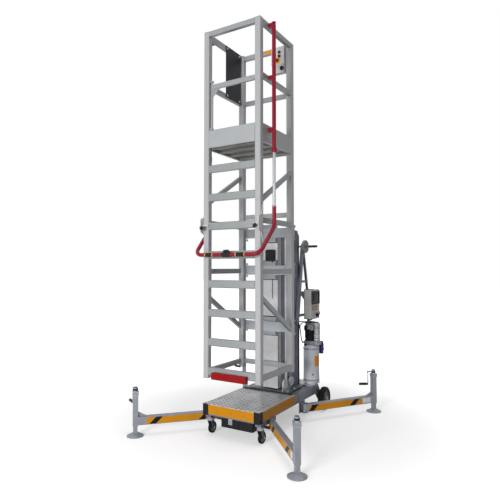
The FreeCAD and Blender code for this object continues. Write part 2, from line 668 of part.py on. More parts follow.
def rungs():
    profile = [
        ("0", "rung_thick / 3"), ("rung_thick / 3", "0"), ("rung_thick", "0"),
        ("rung_thick", "rung_tall"), ("rung_thick / 3", "rung_tall"), ("0", "rung_tall - rung_thick / 3"),
    ]
    pieces = []
    for index in range(int(number("rung_count"))):
        pieces.append(extrusion(
            f"rung_{index + 1}", "YZ_Plane", [profile], "2 * inner_x",
            ("-inner_x", "cage_front", f"rung_first + {index} * rung_pitch")))
    node("rungs", pieces)


def side_bar(name, sign, low, tall, thick):
    """A rail between the front and back posts of one side, flush with their outside."""
    x = "cage_half - " + thick if sign > 0 else "-cage_half"
    return box(name, (x, "bay_front", low), (thick, "bay_long", tall))


def back_bar(name, low, tall, thick):
    """A rail between the back posts, flush with their outside."""
    return box(name, ("-inner_x", f"cage_back - {thick}", low), ("2 * inner_x", thick, tall))


def cage_rails():
    pieces = []
    for side, sign in SIDES:
        for name, low in (("foot", "rung_first"), ("low", "side_rail_low"), ("high", "side_rail_high")):
            pieces.append(side_bar(f"side_rail_{name}_{side}", sign, low, "rail_tall", "rail_thick"))
        pieces.append(side_bar(f"mid_rail_{side}", sign, "mid_rail_low", "mid_rail_tall", "guard_rail_thick"))
        pieces.append(side_bar(f"top_rail_{side}", sign, "top_rail_low", "top_rail_tall", "guard_rail_thick"))
    pieces.append(back_bar("back_rail_foot", "rung_first", "rail_tall", "rail_thick"))
    pieces.append(back_bar("back_rail_high", "back_rail_high", "rail_tall", "rail_thick"))
    pieces.append(back_bar("mid_rail_back", "mid_rail_low", "mid_rail_tall", "guard_rail_thick"))
    pieces.append(back_bar("top_rail_back", "top_rail_low", "top_rail_tall", "guard_rail_thick"))
    pieces.append(box(
        "top_rail_front", ("-inner_x", "cage_front", "top_rail_low"),
        ("2 * inner_x", "guard_rail_thick", "top_rail_tall")))
    node("cage_rails", pieces)


def cage_braces():
    pieces = []
    for level in ("low", "high"):
        front, back = f"brace_{level}_front", f"brace_{level}_back"
        profile = [
            ("bay_front", f"{front} - brace_tall / 2"), ("bay_front + bay_long", f"{back} - brace_tall / 2"),
            ("bay_front + bay_long", f"{back} + brace_tall / 2"), ("bay_front", f"{front} + brace_tall / 2"),
        ]
        for side, sign in SIDES:
            x = "cage_half - rail_thick" if sign > 0 else "-cage_half"
            pieces.append(extrusion(f"brace_{level}_{side}", "YZ_Plane", [profile], "rail_thick", (x, 0, 0)))
    node("cage_braces", pieces)


def saddles():
    """Three brackets tie the cage's back to the front column of the mast."""
    pieces = []
    for name in ("low", "middle", "high"):
        middle = f"saddle_{name}"
        low = f"{middle} - saddle_tall / 2"
        parts = [
            box(f"saddle_plate_{name}", ("-cage_half", "cage_back", f"{middle} - saddle_strip / 2"),
                ("cage_width", "saddle_sheet", "saddle_strip")),
            box(f"saddle_flange_{name}", ("-front_half", "mast_front - saddle_sheet", low),
                ("2 * front_half", "saddle_sheet", "saddle_tall")),
        ]
        for side, x in (("left", "-front_half"), ("right", "front_half - saddle_sheet")):
            parts.append(box(
                f"saddle_web_{name}_{side}", (x, "cage_back + saddle_sheet", low),
                ("saddle_sheet", "mast_front - cage_back - 2 * saddle_sheet", "saddle_tall")))
        for edge, z in (("under", f"{low} - pad_tall"), ("over", f"{low} + saddle_tall")):
            parts.append(box(
                f"saddle_pad_{name}_{edge}", ("-front_half", "mast_front - pad_deep", z),
                ("2 * front_half", "pad_deep", "pad_tall")))
        pieces.append(fuse(f"saddle_{name}_solid", parts))
    node("saddles", pieces)
    node("sensor_box", [block(
        "sensor_box_body", ("-sensor_left", "mast_front - sensor_deep", "saddle_middle + saddle_tall / 2 + pad_tall"),
        ("sensor_wide", "sensor_deep", "sensor_tall"), "sensor_round", Y_AXIS)])


def splices():
    """Pinned plates join the lower and upper halves of the front posts."""
    middle = "(splice_low + splice_high) / 2"
    edge = "post * 0.6 + splice_reach"
    profile = [
        ("0", "splice_low"), ("splice_reach / 2", f"{middle} - splice_flat - splice_taper"),
        (edge, f"{middle} - splice_flat"), (edge, f"{middle} + splice_flat"),
        ("splice_reach / 2", f"{middle} + splice_flat + splice_taper"), ("0", "splice_high"),
    ]
    mirrored = [(f"0 - ({u})", v) for u, v in profile]
    pieces = []
    for side, sign in SIDES:
        x = "cage_half" if sign > 0 else "-cage_half - splice_thick"
        plate = extrusion(
            f"splice_plate_{side}", "YZ_Plane", [mirrored], "splice_thick", (x, "cage_front + post * 0.6", 0))
        pin = rod(
            f"splice_pin_{side}", (f"{sign} * post_x - post * 0.6", "cage_front - splice_pin", middle),
            "splice_pin", "post * 1.2", TURN_TO_X)
        pieces.append(fuse(f"splice_{side}", [plate, pin]))
    node("splices", pieces)


def bumper():
    node("bumper", [block(
        "bumper_block", ("-bumper_wide / 2", "cage_front - bumper_thick", "bumper_low"),
        ("bumper_wide", "bumper_thick", "bumper_tall"), "bumper_round", X_AXIS)])


# %% Work basket


def basket_floor():
    far_x = "cage_half - toe_thick"
    front, back = "cage_front + toe_thick", "cage_back - toe_thick"
    near, rear = "cage_front + post", "cage_back - post"
    plate = [
        (f"-({far_x})", near), ("-inner_x", near), ("-inner_x", front), ("inner_x", front), ("inner_x", near),
        (far_x, near), (far_x, rear), ("inner_x", rear), ("inner_x", back), ("-inner_x", back),
        ("-inner_x", rear), (f"-({far_x})", rear),
    ]
    floor = extrusion("floor_plate", "XY_Plane", [plate], "floor_thick", (0, 0, "floor_low"))
    ribs = []
    for index in range(4):
        ribs.append(box(
            f"floor_rib_{index + 1}",
            (f"-({far_x})", f"bay_front + (bay_long - floor_rib_wide) * {index} / 3", "floor_under"),
            (f"2 * ({far_x})", "floor_rib_wide", "floor_lift")))
    node("basket_floor", [fuse("floor_with_ribs", [floor] + ribs)])


def toe_boards():
    pieces = [
        side_bar(f"toe_board_{side}", sign, "floor_under", "toe_tall", "toe_thick") for side, sign in SIDES]
    pieces.append(back_bar("toe_board_back", "floor_under", "toe_tall", "toe_thick"))
    pieces.append(box(
        "toe_board_front", ("-inner_x", "cage_front", "floor_under"),
        ("2 * inner_x", "toe_thick", "toe_tall")))
    node("toe_boards", pieces)


def side_panel():
    node("side_panel", [box(
        "side_panel_sheet", ("-cage_half + guard_rail_thick", "panel_front", "mid_rail_low"),
        ("panel_thick", "panel_long", "cage_top - mid_rail_low - panel_drop"))])


def console():
    """The operator's control box on the back rail, with its socket box below."""
    case = block(
        "console_case", ("console_left", "console_face", "console_low"),
        ("console_wide", "console_deep", "console_tall"), "console_round", Y_AXIS)
    lower = box(
        "console_socket", ("console_left + socket_inset", "console_face + socket_inset", "console_low - socket_tall"),
        ("console_wide - 2 * socket_inset", "console_deep - socket_inset", "socket_tall"))
    push_button = [
        ("0", "0"), ("button_radius + button_rim", "0"), ("button_radius + button_rim", "button_out / 3"),
        ("button_radius", "button_out / 2"), ("button_radius", "button_out"), ("0", "button_out"),
    ]
    stop_button = [
        ("0", "0"), ("stop_disc", "0"), ("stop_disc", "stop_disc_thick"), ("stop_neck", "stop_disc_thick"),
        ("stop_neck", "stop_out / 2"), ("stop_radius", "stop_out * 0.6"), ("stop_radius", "stop_out * 0.8"),
        ("stop_radius * 0.7", "stop_out"), ("0", "stop_out"),
    ]
    socket = [
        ("0", "0"), ("socket_radius", "0"), ("socket_radius", "socket_out"), ("socket_hole", "socket_out"),
        ("socket_hole", "socket_out / 4"), ("0", "socket_out / 4"),
    ]
    face, top = "console_face", "console_top - button_drop"
    # Columns: name, profile, place
    fittings = (
        ("button_up", push_button, ("console_left + button_across", face, top)),
        ("button_down", push_button, ("console_left + button_across", face, f"{top} - button_pitch")),
        ("button_stop", stop_button, ("console_left + stop_across", face, "console_top - stop_drop")),
        ("socket", socket, ("console_left + socket_across", f"{face} + socket_inset", "console_low - socket_tall / 2")),
    )
    parts = [turned(name, profile, at, TURN_TO_FRONT) for name, profile, at in fittings]
    node("console", [fuse("console_solid", [case, lower] + parts)])


def guard_sleeves():
    """Tubes on the basket's sides in which the guard bar slides."""
    pieces = []
    for side, sign in SIDES:
        tube = rod(
            f"sleeve_tube_{side}", (f"{sign} * guard_x", "guard_y", "sleeve_low"), "guard_radius",
            "sleeve_top - sleeve_low")
        lugs = []
        for name, low in (("foot", "toe_top - lug_drop"), ("middle", "mid_rail_low"), ("top", "top_rail_low")):
            x = "cage_half" if sign > 0 else "-guard_x"
            lugs.append(box(
                f"sleeve_lug_{name}_{side}", (x, "guard_y - lug_wide / 2", low),
                ("guard_x - cage_half", "lug_wide", "lug_tall")))
        clamp = rod(
            f"sleeve_clamp_{side}", (f"{sign} * guard_x", "guard_y", "sleeve_low"),
            "guard_radius + sleeve_clamp",
            "sleeve_clamp_tall")
        solid = fuse(f"sleeve_solid_{side}", [tube, clamp] + lugs)
        bore = rod(
            f"sleeve_bore_{side}", (f"{sign} * guard_x", "guard_y", "sleeve_low - cut_over"),
            "guard_rod + slide_fit",
            "sleeve_top - sleeve_low - sleeve_end + cut_over")
        pieces.append(cut(f"sleeve_{side}", solid, [bore]))
    node("guard_sleeves", pieces)


def gate_hinges():
    pieces = []
    for name, low, pin_low in (
            ("lower", "gate_leg_low - slide_fit - hinge_lug", "gate_leg_low - slide_fit"),
            ("upper", "gate_leg_top + slide_fit", "gate_leg_top - hinge_pin_long")):
        plate = box(
            f"hinge_lug_{name}", ("-inner_x", "front_post_y - hinge_lug_wide / 2", low),
            ("gate_hinge_x + inner_x + hinge_lug", "hinge_lug_wide", "hinge_lug"))
        pin = rod(
            f"hinge_pin_{name}", ("gate_hinge_x", "front_post_y", pin_low), "hinge_pin",
            "hinge_pin_long + slide_fit")
        pieces.append(fuse(f"hinge_{name}", [plate, pin]))
    stop = box(
        "gate_stop", ("inner_x - stop_long", "front_post_y - gate_bar_thick / 2 - slide_fit - stop_thick",
                      "gate_bar_low + stop_thick"),
        ("stop_long", "stop_thick", "gate_bar_tall - 2 * stop_thick"))
    node("gate_hinges", pieces + [stop])


def gate():
    """The entrance bar turns on an upright leg and opens into the basket."""
    leg = rod(
        "gate_leg", ("gate_hinge_x", "front_post_y", "gate_leg_low"), "gate_leg_radius",
        "gate_leg_top - gate_leg_low")
    bar = box(
        "gate_bar", ("gate_hinge_x", "front_post_y - gate_bar_thick / 2", "gate_bar_low"),
        ("inner_x - gate_gap - gate_hinge_x", "gate_bar_thick", "gate_bar_tall"))
    wedge = [("0", "0"), ("gate_gusset", "0"), ("0", "-gate_gusset * 0.9")]
    gusset = extrusion(
        "gate_gusset_plate", "XZ_Plane", [wedge], "stop_thick",
        ("gate_hinge_x", "front_post_y - stop_thick / 2", "gate_bar_low"))
    solid = fuse("gate_solid", [leg, bar, gusset])
    holes = []
    bores = (("lower", "gate_leg_low - cut_over"), ("upper", "gate_leg_top - hinge_pin_long - cut_over"))
    for name, low in bores:
        holes.append(rod(
            f"gate_bore_{name}", ("gate_hinge_x", "front_post_y", low), "hinge_pin + running_fit",
            "hinge_pin_long + 2 * cut_over"))
    node("gate", [cut("gate_bored", solid, holes)])


# %% Guard bar


def guard_bar():
    """A bent tube in front of the cage, slid up on two rods by whoever steps in."""
    right = [("guard_x", "guard_y", "guard_shoulder"), ("guard_x", "guard_y", "guard_knee"),
             ("guard_front_x", "guard_front_y", "guard_front_z")]
    left = [(f"-{x}", y, z) for x, y, z in reversed(right)]
    node("guard_bar", [pipe("guard_tube", right + left, "guard_radius", "guard_bend")])
    rods = []
    for side, sign in SIDES:
        rods.append(rod(
            f"guard_rod_{side}", (f"{sign} * guard_x", "guard_y", "guard_shoulder"), "guard_rod",
            "guard_rod_top - guard_shoulder"))
    node("guard_rods", rods)


# %% Telescopic mast


def stage_outline(half, front, back, tongues, grooves):
    """Plan of a mast section: T tongues on its front, T grooves in its back, ribbed flanks.

    The tongues of one section run in the grooves of the section in front of it.
    """
    right = [("0", front)]
    if tongues:
        near = f"{front} - stage_gap - tongue_neck_deep"
        tip = f"{near} - tongue_head_deep"
        right += [
            ("tongue_x - tongue_neck", front), ("tongue_x - tongue_neck", near),
            ("tongue_x - tongue_head", near),
            ("tongue_x - tongue_head", tip), ("tongue_x + tongue_head", tip),
            ("tongue_x + tongue_head", near),
            ("tongue_x + tongue_neck", near), ("tongue_x + tongue_neck", front),
            ("slot_x - slot_half", front), ("slot_x - slot_half", f"{front} + slot_deep"),
            ("slot_x + slot_half", f"{front} + slot_deep"), ("slot_x + slot_half", front),
        ]
    depth = f"({back} - ({front}))"
    right += [
        (half, front), (half, f"{front} + {depth} * 0.2"),
        (f"{half} - rib_deep", f"{front} + {depth} * 0.28"),
        (f"{half} - rib_deep", f"{front} + {depth} * 0.42"), (half, f"{front} + {depth} * 0.5"),
        (half, f"{front} + {depth} * 0.58"), (f"{half} - rib_deep", f"{front} + {depth} * 0.66"),
        (f"{half} - rib_deep", f"{front} + {depth} * 0.8"), (half, f"{front} + {depth} * 0.88"), (half, back),
    ]
    if grooves:
        lip = f"{back} - lip"
        end = f"{back} - groove_end"
        right += [
            ("tongue_x + groove_neck", back), ("tongue_x + groove_neck", lip),
            ("tongue_x + groove_head", lip),
            ("tongue_x + groove_head", end), ("tongue_x - groove_head", end), ("tongue_x - groove_head", lip),
            ("tongue_x - groove_neck", lip), ("tongue_x - groove_neck", back),
        ]
    right.append(("0", back))
    left = [(f"0 - ({u})", v) for u, v in reversed(right[1:-1])]
    return right + left


def mast():
    """Four sections in a row; the front one carries the cage."""
    # Columns: node, place from the front, half width, tongues, grooves
    sections = (
        ("front_column", 0, "front_half", False, True),
        ("mast_section_3", 1, "stage_half", True, True),
        ("mast_section_2", 2, "stage_half", True, True),
        ("mast_column", 3, "stage_half", True, False),
    )
    for name, index, half, tongues, grooves in sections:
        front = f"mast_front + {index} * stage_step"
        back = f"mast_front + {index} * stage_step + stage_deep"
        low = f"stage_bottom + {3 - index} * stage_lift"
        cavity = [
            (f"0 - ({half} - rib_deep - stage_wall)", f"{front} + stage_wall"),
            (f"{half} - rib_deep - stage_wall", f"{front} + stage_wall"),
            (f"{half} - rib_deep - stage_wall", f"{back} - groove_end - stage_wall"),
            (f"0 - ({half} - rib_deep - stage_wall)", f"{back} - groove_end - stage_wall"),
        ]
        outline = stage_outline(half, front, back, tongues, grooves)
        section = extrusion(name + "_body", "XY_Plane", [outline, cavity], f"mast_top - ({low})", (0, 0, low))
        node(name, [section])


def mast_foot():
    """The plate under the mast, the sheaves on its right flank and the duct behind."""
    wide = "2 * (stage_half + foot_plate_wider)"
    long = "duct_back + foot_plate_behind - mast_front + foot_plate_ahead"
    node("mast_foot", [box(
        "mast_foot_plate", ("-stage_half - foot_plate_wider", "mast_front - foot_plate_ahead", "beam_top"),
        (wide, long, "stage_bottom - beam_top"))])
    half, web = "sheave_wide / 2", "sheave_web / 2"
    rim, lip = "sheave_groove - sheave_rim", "sheave_groove - sheave_rim / 2"
    wheel = [
        ("0", f"-({half})"), ("sheave_hub", f"-({half})"), ("sheave_hub", f"-({web})"), (rim, f"-({web})"),
        (lip, f"-({half})"), ("sheave_radius", f"-({half})"), ("sheave_groove", f"-({web}) / 2"),
        ("sheave_groove", f"{web} / 2"), ("sheave_radius", half), (lip, half), (rim, web),
        ("sheave_hub", web),
        ("sheave_hub", half), ("0", half),
    ]
    front = "mast_front + sheave_front"
    back = "mast_front + sheave_back"
    near, far = f"{front} - bracket_over", f"{back} + bracket_over"
    outline = [
        (near, "stage_bottom"), (far, "stage_bottom"), (far, "sheave_z"), (back, "sheave_z + bracket_over"),
        (front, "sheave_z + bracket_over"), (near, "sheave_z"),
    ]
    parts = [extrusion("sheave_bracket", "YZ_Plane", [outline], "bracket_thick", ("bracket_in", 0, 0))]
    for name, y in (("front", front), ("back", back)):
        parts.append(turned(
            f"foot_sheave_{name}", wheel, (f"sheave_in + {half}", y, "sheave_z"), TURN_TO_X))
        parts.append(rod(
            f"sheave_pin_{name}", ("bracket_in", y, "sheave_z"), "sheave_pin",
            "bracket_thick + 2 * sheave_gap + sheave_wide", TURN_TO_X))
    node("foot_sheaves", [fuse("sheave_set", parts)])
    profile = [
        ("mast_back", "stage_bottom"), ("duct_back", "stage_bottom"), ("duct_back", "duct_top - duct_bevel"),
        ("duct_back - duct_bevel", "duct_top"), ("mast_back", "duct_top"),
    ]
    duct = extrusion("cable_duct_body", "YZ_Plane", [profile], "2 * duct_half", ("-duct_half", 0, 0))
    node("cable_duct", [duct])


# %% Chassis


def chassis():
    long = "frame_back - cage_front"
    node("side_beams", [
        box(f"side_beam_{side}", ("beam_x" if sign > 0 else "-deck_half", "cage_front", "beam_low"),
            ("beam_wide", long, "beam_tall")) for side, sign in SIDES])
    crossings = []
    # Columns: name, front edge
    for name, y in (("front", "cage_front"), ("deck", "mast_front - deck_cross_ahead"),
                    ("mast", "mast_back - mast_cross_ahead"), ("rear", "frame_back - beam_wide")):
        crossings.append(box(
            f"cross_beam_{name}", ("-beam_x", y, "beam_low"), ("2 * beam_x", "beam_wide", "beam_tall")))
    node("cross_beams", crossings)
    node("deck_plates", [
        box("deck_plate", ("-deck_half", "cage_front", "beam_top"),
            ("2 * deck_half", "deck_back - cage_front", "deck_thick")),
        box("shelf_plate", ("-deck_half", "shelf_front", "beam_top"),
            ("2 * deck_half", "shelf_back - shelf_front", "deck_thick")),
    ])
    guards = []
    for side, sign in SIDES:
        angle = [
            (f"{sign} * (deck_half - corner_long)", "cage_front - corner_thick"),
            (f"{sign} * (deck_half + corner_thick)", "cage_front - corner_thick"),
            (f"{sign} * (deck_half + corner_thick)", "cage_front + corner_long"),
            (f"{sign} * deck_half", "cage_front + corner_long"), (f"{sign} * deck_half", "cage_front"),
            (f"{sign} * (deck_half - corner_long)", "cage_front"),
        ]
        guards.append(extrusion(
            f"corner_guard_{side}", "XY_Plane", [angle], "deck_top - beam_low", (0, 0, "beam_low")))
    node("corner_guards", guards)
    bands = [box(
        "band_front", ("-deck_half + corner_long", "cage_front - band_thick", "band_low"),
        ("2 * (deck_half - corner_long)", "band_thick", "deck_top - band_drop - band_low"))]
    for side, sign in SIDES:
        x = "deck_half" if sign > 0 else "-deck_half - band_thick"
        bands.append(box(
            f"band_{side}", (x, "cage_front + corner_long", "band_low"),
            ("band_thick", "deck_back - cage_front - corner_long", "deck_top - band_drop - band_low")))
    node("edge_bands", bands)
    node("equipment_case", [block(
        "equipment_case_body", ("-case_half", "case_front", "case_low"),
        ("2 * case_half", "case_back - case_front", "beam_top - case_low"), "case_round", Z_AXIS)])
    y, z = "deck_back - cable_inset", "deck_top + cable_radius + running_fit"
    route = [("-cable_half", y, z), ("-cable_half / 3", f"{y} - cable_sway", z), ("cable_half / 3", y, z),
             ("cable_half", f"{y} - cable_sway", z)]
    node("deck_cable", [pipe("deck_cable_tube", route, "cable_radius", "cable_half / 3")])


def chassis_brackets():
    """Castor mounts, pivot ears of the outriggers and the plates of the rear wheels."""
    pieces = []
    for side, sign in SIDES:
        pieces.append(box(
            f"castor_mount_{side}",
            (f"{sign} * castor_x - beam_wide / 2", "castor_y - mount_long / 2", "castor_top"),
            ("beam_wide", "mount_long", "beam_low - castor_top")))
        # front ears hang under the side beam
        x = "-front_pivot_x" if sign < 0 else "front_pivot_x"
        ears = []
        for name, low, tall in (("top", "ear_top_low", "beam_low - (ear_top_low)"),
                                ("bottom", "ear_bottom_low", "ear_thick")):
            ears.append(rod(f"front_ear_{name}_{side}", (x, "front_pivot_y", low), "ear_radius", tall))
            ears.append(box(
                f"front_ear_arm_{name}_{side}",
                (f"{x} - ear_arm_long" if sign > 0 else x, "front_pivot_y - ear_arm_wide / 2", low),
                ("ear_arm_long", "ear_arm_wide", tall)))
        ears.append(box(
            f"front_ear_web_{side}",
            (f"{x} - ear_arm_long" if sign > 0 else f"{x} + ear_arm_long - ear_web",
             "front_pivot_y - ear_arm_wide / 2", "ear_bottom_low"),
            ("ear_web", "ear_arm_wide", "beam_low - (ear_bottom_low)")))
        solid = fuse(f"front_ears_{side}", ears)
        pieces.append(cut(f"front_bracket_{side}", solid, [rod(
            f"front_ear_bore_{side}", (x, "front_pivot_y", "ear_bottom_low - cut_over"), "pivot_pin",
            "beam_low - (ear_bottom_low)")]))
        # rear ears stand out from a plate on the beam's side
        x = "-rear_pivot_x" if sign < 0 else "rear_pivot_x"
        plate_x = "deck_half" if sign > 0 else "-plate_out"
        ears = [box(
            f"rear_ear_plate_{side}", (plate_x, "rear_pivot_y - ear_plate_ahead", "ear_bottom_low"),
            ("side_plate", "ear_plate_long", "beam_top - (ear_bottom_low)"))]
        for name, low in (("top", "ear_top_low"), ("bottom", "ear_bottom_low")):
            ears.append(rod(f"rear_ear_{name}_{side}", (x, "rear_pivot_y", low), "ear_radius", "ear_thick"))
            ears.append(box(
                f"rear_ear_arm_{name}_{side}",
                ("plate_out - cut_over" if sign > 0 else "-rear_pivot_x", "rear_pivot_y - ear_radius", low),
                ("rear_pivot_x - plate_out + cut_over", "2 * ear_radius", "ear_thick")))
        solid = fuse(f"rear_ears_{side}", ears)
        pieces.append(cut(f"rear_bracket_{side}", solid, [rod(
            f"rear_ear_bore_{side}", (x, "rear_pivot_y", "ear_bottom_low - cut_over"), "pivot_pin",
            "ear_top_low + ear_thick - (ear_bottom_low) + 2 * cut_over")]))
        profile = [
            ("frame_back - axle_plate_ahead", "beam_low"),
            ("wheel_y - axle_plate_half", "wheel_z - axle_plate_under"),
            ("wheel_y + axle_plate_behind", "wheel_z - axle_plate_under"),
            ("wheel_y + axle_plate_behind", "wheel_z + axle_plate_under / 2"), ("frame_back", "beam_top"),
            ("frame_back - axle_plate_ahead", "beam_top"),
        ]
        plate = extrusion(f"wheel_plate_{side}", "YZ_Plane", [profile], "side_plate", (plate_x, 0, 0))
        bore_x = "deck_half - cut_over" if sign > 0 else "-plate_out - cut_over"
        pieces.append(cut(f"wheel_bracket_{side}", plate, [rod(
            f"wheel_bracket_bore_{side}", (bore_x, "wheel_y", "wheel_z"), "axle_radius",
            "side_plate + 2 * cut_over",
            TURN_TO_X)]))
    node("chassis_brackets", pieces)


def fixed_pins():
    """Pivot pins of the outriggers and stub axles of the rear wheels."""
    pieces = []
    for side, sign in SIDES:
        for end in ("front", "rear"):
            x, y = f"{end}_pivot_x", f"{end}_pivot_y"
            low = "ear_bottom_low"
            top = "beam_low - cut_over" if end == "front" else "ear_top_low + ear_thick"
            pieces.append(rod(f"pivot_pin_{end}_{side}", (f"{sign} * {x}", y, low), "pivot_pin",
                f"{top} - ({low})"))
        start = "deck_half" if sign > 0 else "-(wheel_x + wheel_wide / 2 + axle_cap)"
        stub = rod(
            f"rear_axle_stub_{side}", (start, "wheel_y", "wheel_z"), "axle_radius",
            "wheel_x + wheel_wide / 2 + axle_cap - deck_half", TURN_TO_X)
        cap_x = "wheel_x + wheel_wide / 2 + slide_fit" if sign > 0 else "-(wheel_x + wheel_wide / 2 + axle_cap)"
        cap = rod(f"axle_cap_{side}", (cap_x, "wheel_y", "wheel_z"), "axle_radius + axle_collar",
                  "axle_cap - slide_fit", TURN_TO_X)
        collar_x = "plate_out" if sign > 0 else "-(wheel_x - wheel_wide / 2 - slide_fit)"
        collar = rod(
            f"axle_collar_{side}", (collar_x, "wheel_y", "wheel_z"), "axle_radius + axle_collar",
            "wheel_x - wheel_wide / 2 - slide_fit - (plate_out)", TURN_TO_X)
        pieces.append(fuse(f"rear_axle_{side}", [stub, cap, collar]))
    node("fixed_pins", pieces)


# %% Wheels


def castors():
    """Each fork swivels under its mount and carries one small wheel."""
    for side, sign in SIDES:
        x = f"{sign} * castor_x"
        wheel_y = "castor_y + castor_trail"
        half = "castor_wide / 2 + castor_gap"
        crown_low = "castor_top - castor_head_tall - castor_plate"
        head = rod(
            f"castor_head_{side}", (x, "castor_y", "castor_top - castor_head_tall"), "castor_head",
            "castor_head_tall - slide_fit")
        crown = box(
            f"castor_crown_{side}",
            (f"{x} - ({half}) - castor_plate", "castor_y - castor_crown_ahead", crown_low),
            (f"2 * ({half} + castor_plate)", "castor_crown_long", "castor_plate"))
        cheeks = []
        for hand, shift in (("inner", f"-({half}) - castor_plate"), ("outer", half)):
            profile = [
                ("castor_y - castor_crown_ahead", crown_low),
                (f"{wheel_y} - castor_cheek", "castor_axle_z - castor_cheek"),
                (f"{wheel_y} + castor_cheek", "castor_axle_z - castor_cheek"),
                ("castor_y - castor_crown_ahead + castor_crown_long", crown_low),
            ]
            cheeks.append(extrusion(
                f"castor_cheek_{hand}_{side}", "YZ_Plane", [profile], "castor_plate",
                (f"{x} + {shift}", 0, 0)))
        axle = rod(
            f"castor_axle_{side}",
            (f"{x} - ({half}) - castor_plate - castor_axle_out", wheel_y, "castor_axle_z"),
            "castor_axle", f"2 * ({half} + castor_plate + castor_axle_out)", TURN_TO_X)
        node(f"castor_fork_{side}", [fuse(f"castor_fork_solid_{side}", [head, crown, axle] + cheeks)])
        tread = "castor_wide / 2"
        bore, hub_end = "castor_axle + running_fit", f"{half} - slide_fit"
        rim, lip = "castor_radius - castor_tyre", "castor_radius - castor_tyre + castor_edge / 2"
        profile = [
            (bore, f"-({hub_end})"), ("castor_hub", f"-({hub_end})"), ("castor_hub", "-castor_web"),
            (rim, "-castor_web"), (lip, f"-({tread})"), ("castor_radius - castor_edge", f"-({tread})"),
            ("castor_radius", f"castor_edge - {tread}"), ("castor_radius", f"{tread} - castor_edge"),
            ("castor_radius - castor_edge", tread), (lip, tread), (rim, "castor_web"),
            ("castor_hub", "castor_web"),
            ("castor_hub", hub_end), (bore, hub_end),
        ]
        node(f"castor_wheel_{side}", [turned(
            f"castor_wheel_body_{side}", profile, (x, wheel_y, "castor_axle_z"), TURN_TO_X)])


def rear_wheels():
    for side, sign in SIDES:
        x = f"{sign} * wheel_x"
        tread = "wheel_wide / 2"
        bead, shoulder = "rim_radius + tyre_edge", "wheel_radius - 2 * tyre_edge"
        tyre = [
            ("rim_radius", f"tyre_edge - {tread}"), (bead, f"-({tread})"), (shoulder, f"-({tread})"),
            ("wheel_radius - tyre_edge / 2", f"tyre_edge - {tread}"),
            ("wheel_radius", f"tyre_crown - {tread}"),
            ("wheel_radius", f"{tread} - tyre_crown"),
            ("wheel_radius - tyre_edge / 2", f"{tread} - tyre_edge"),
            (shoulder, tread), (bead, tread), ("rim_radius", f"{tread} - tyre_edge"),
        ]
        node(f"rear_tyre_{side}",
            [turned(f"rear_tyre_body_{side}", tyre, (x, "wheel_y", "wheel_z"), TURN_TO_X)])
        bore, flare = "axle_radius + running_fit", "hub_radius + hub_flare"
        rim, disc = "rim_radius - rim_wall", "rim_radius - 2 * rim_wall"
        hub = [
            (bore, f"-({tread})"), ("hub_radius", f"-({tread})"), (flare, f"rim_dish - {tread}"),
            (disc, f"rim_dish - {tread}"), (rim, f"tyre_edge - {tread}"),
            ("rim_radius", f"tyre_edge - {tread}"),
            ("rim_radius", f"{tread} - tyre_edge"), (rim, f"{tread} - tyre_edge"),
            (disc, f"{tread} - rim_dish"),
            (flare, f"{tread} - rim_dish"), ("hub_radius", tread), (bore, tread),
        ]
        node(f"rear_hub_{side}", [turned(f"rear_hub_body_{side}", hub, (x, "wheel_y", "wheel_z"), TURN_TO_X)])


# %% Outriggers


# Columns: name, sign of x, sign of y, which pivot, direction of the crank
CORNERS = (
    ("front_left", -1, -1, "front", 154),
    ("front_right", 1, -1, "front", 116),
    ("rear_left", -1, 1, "rear", 172),
    ("rear_right", 1, 1, "rear", 212),
)


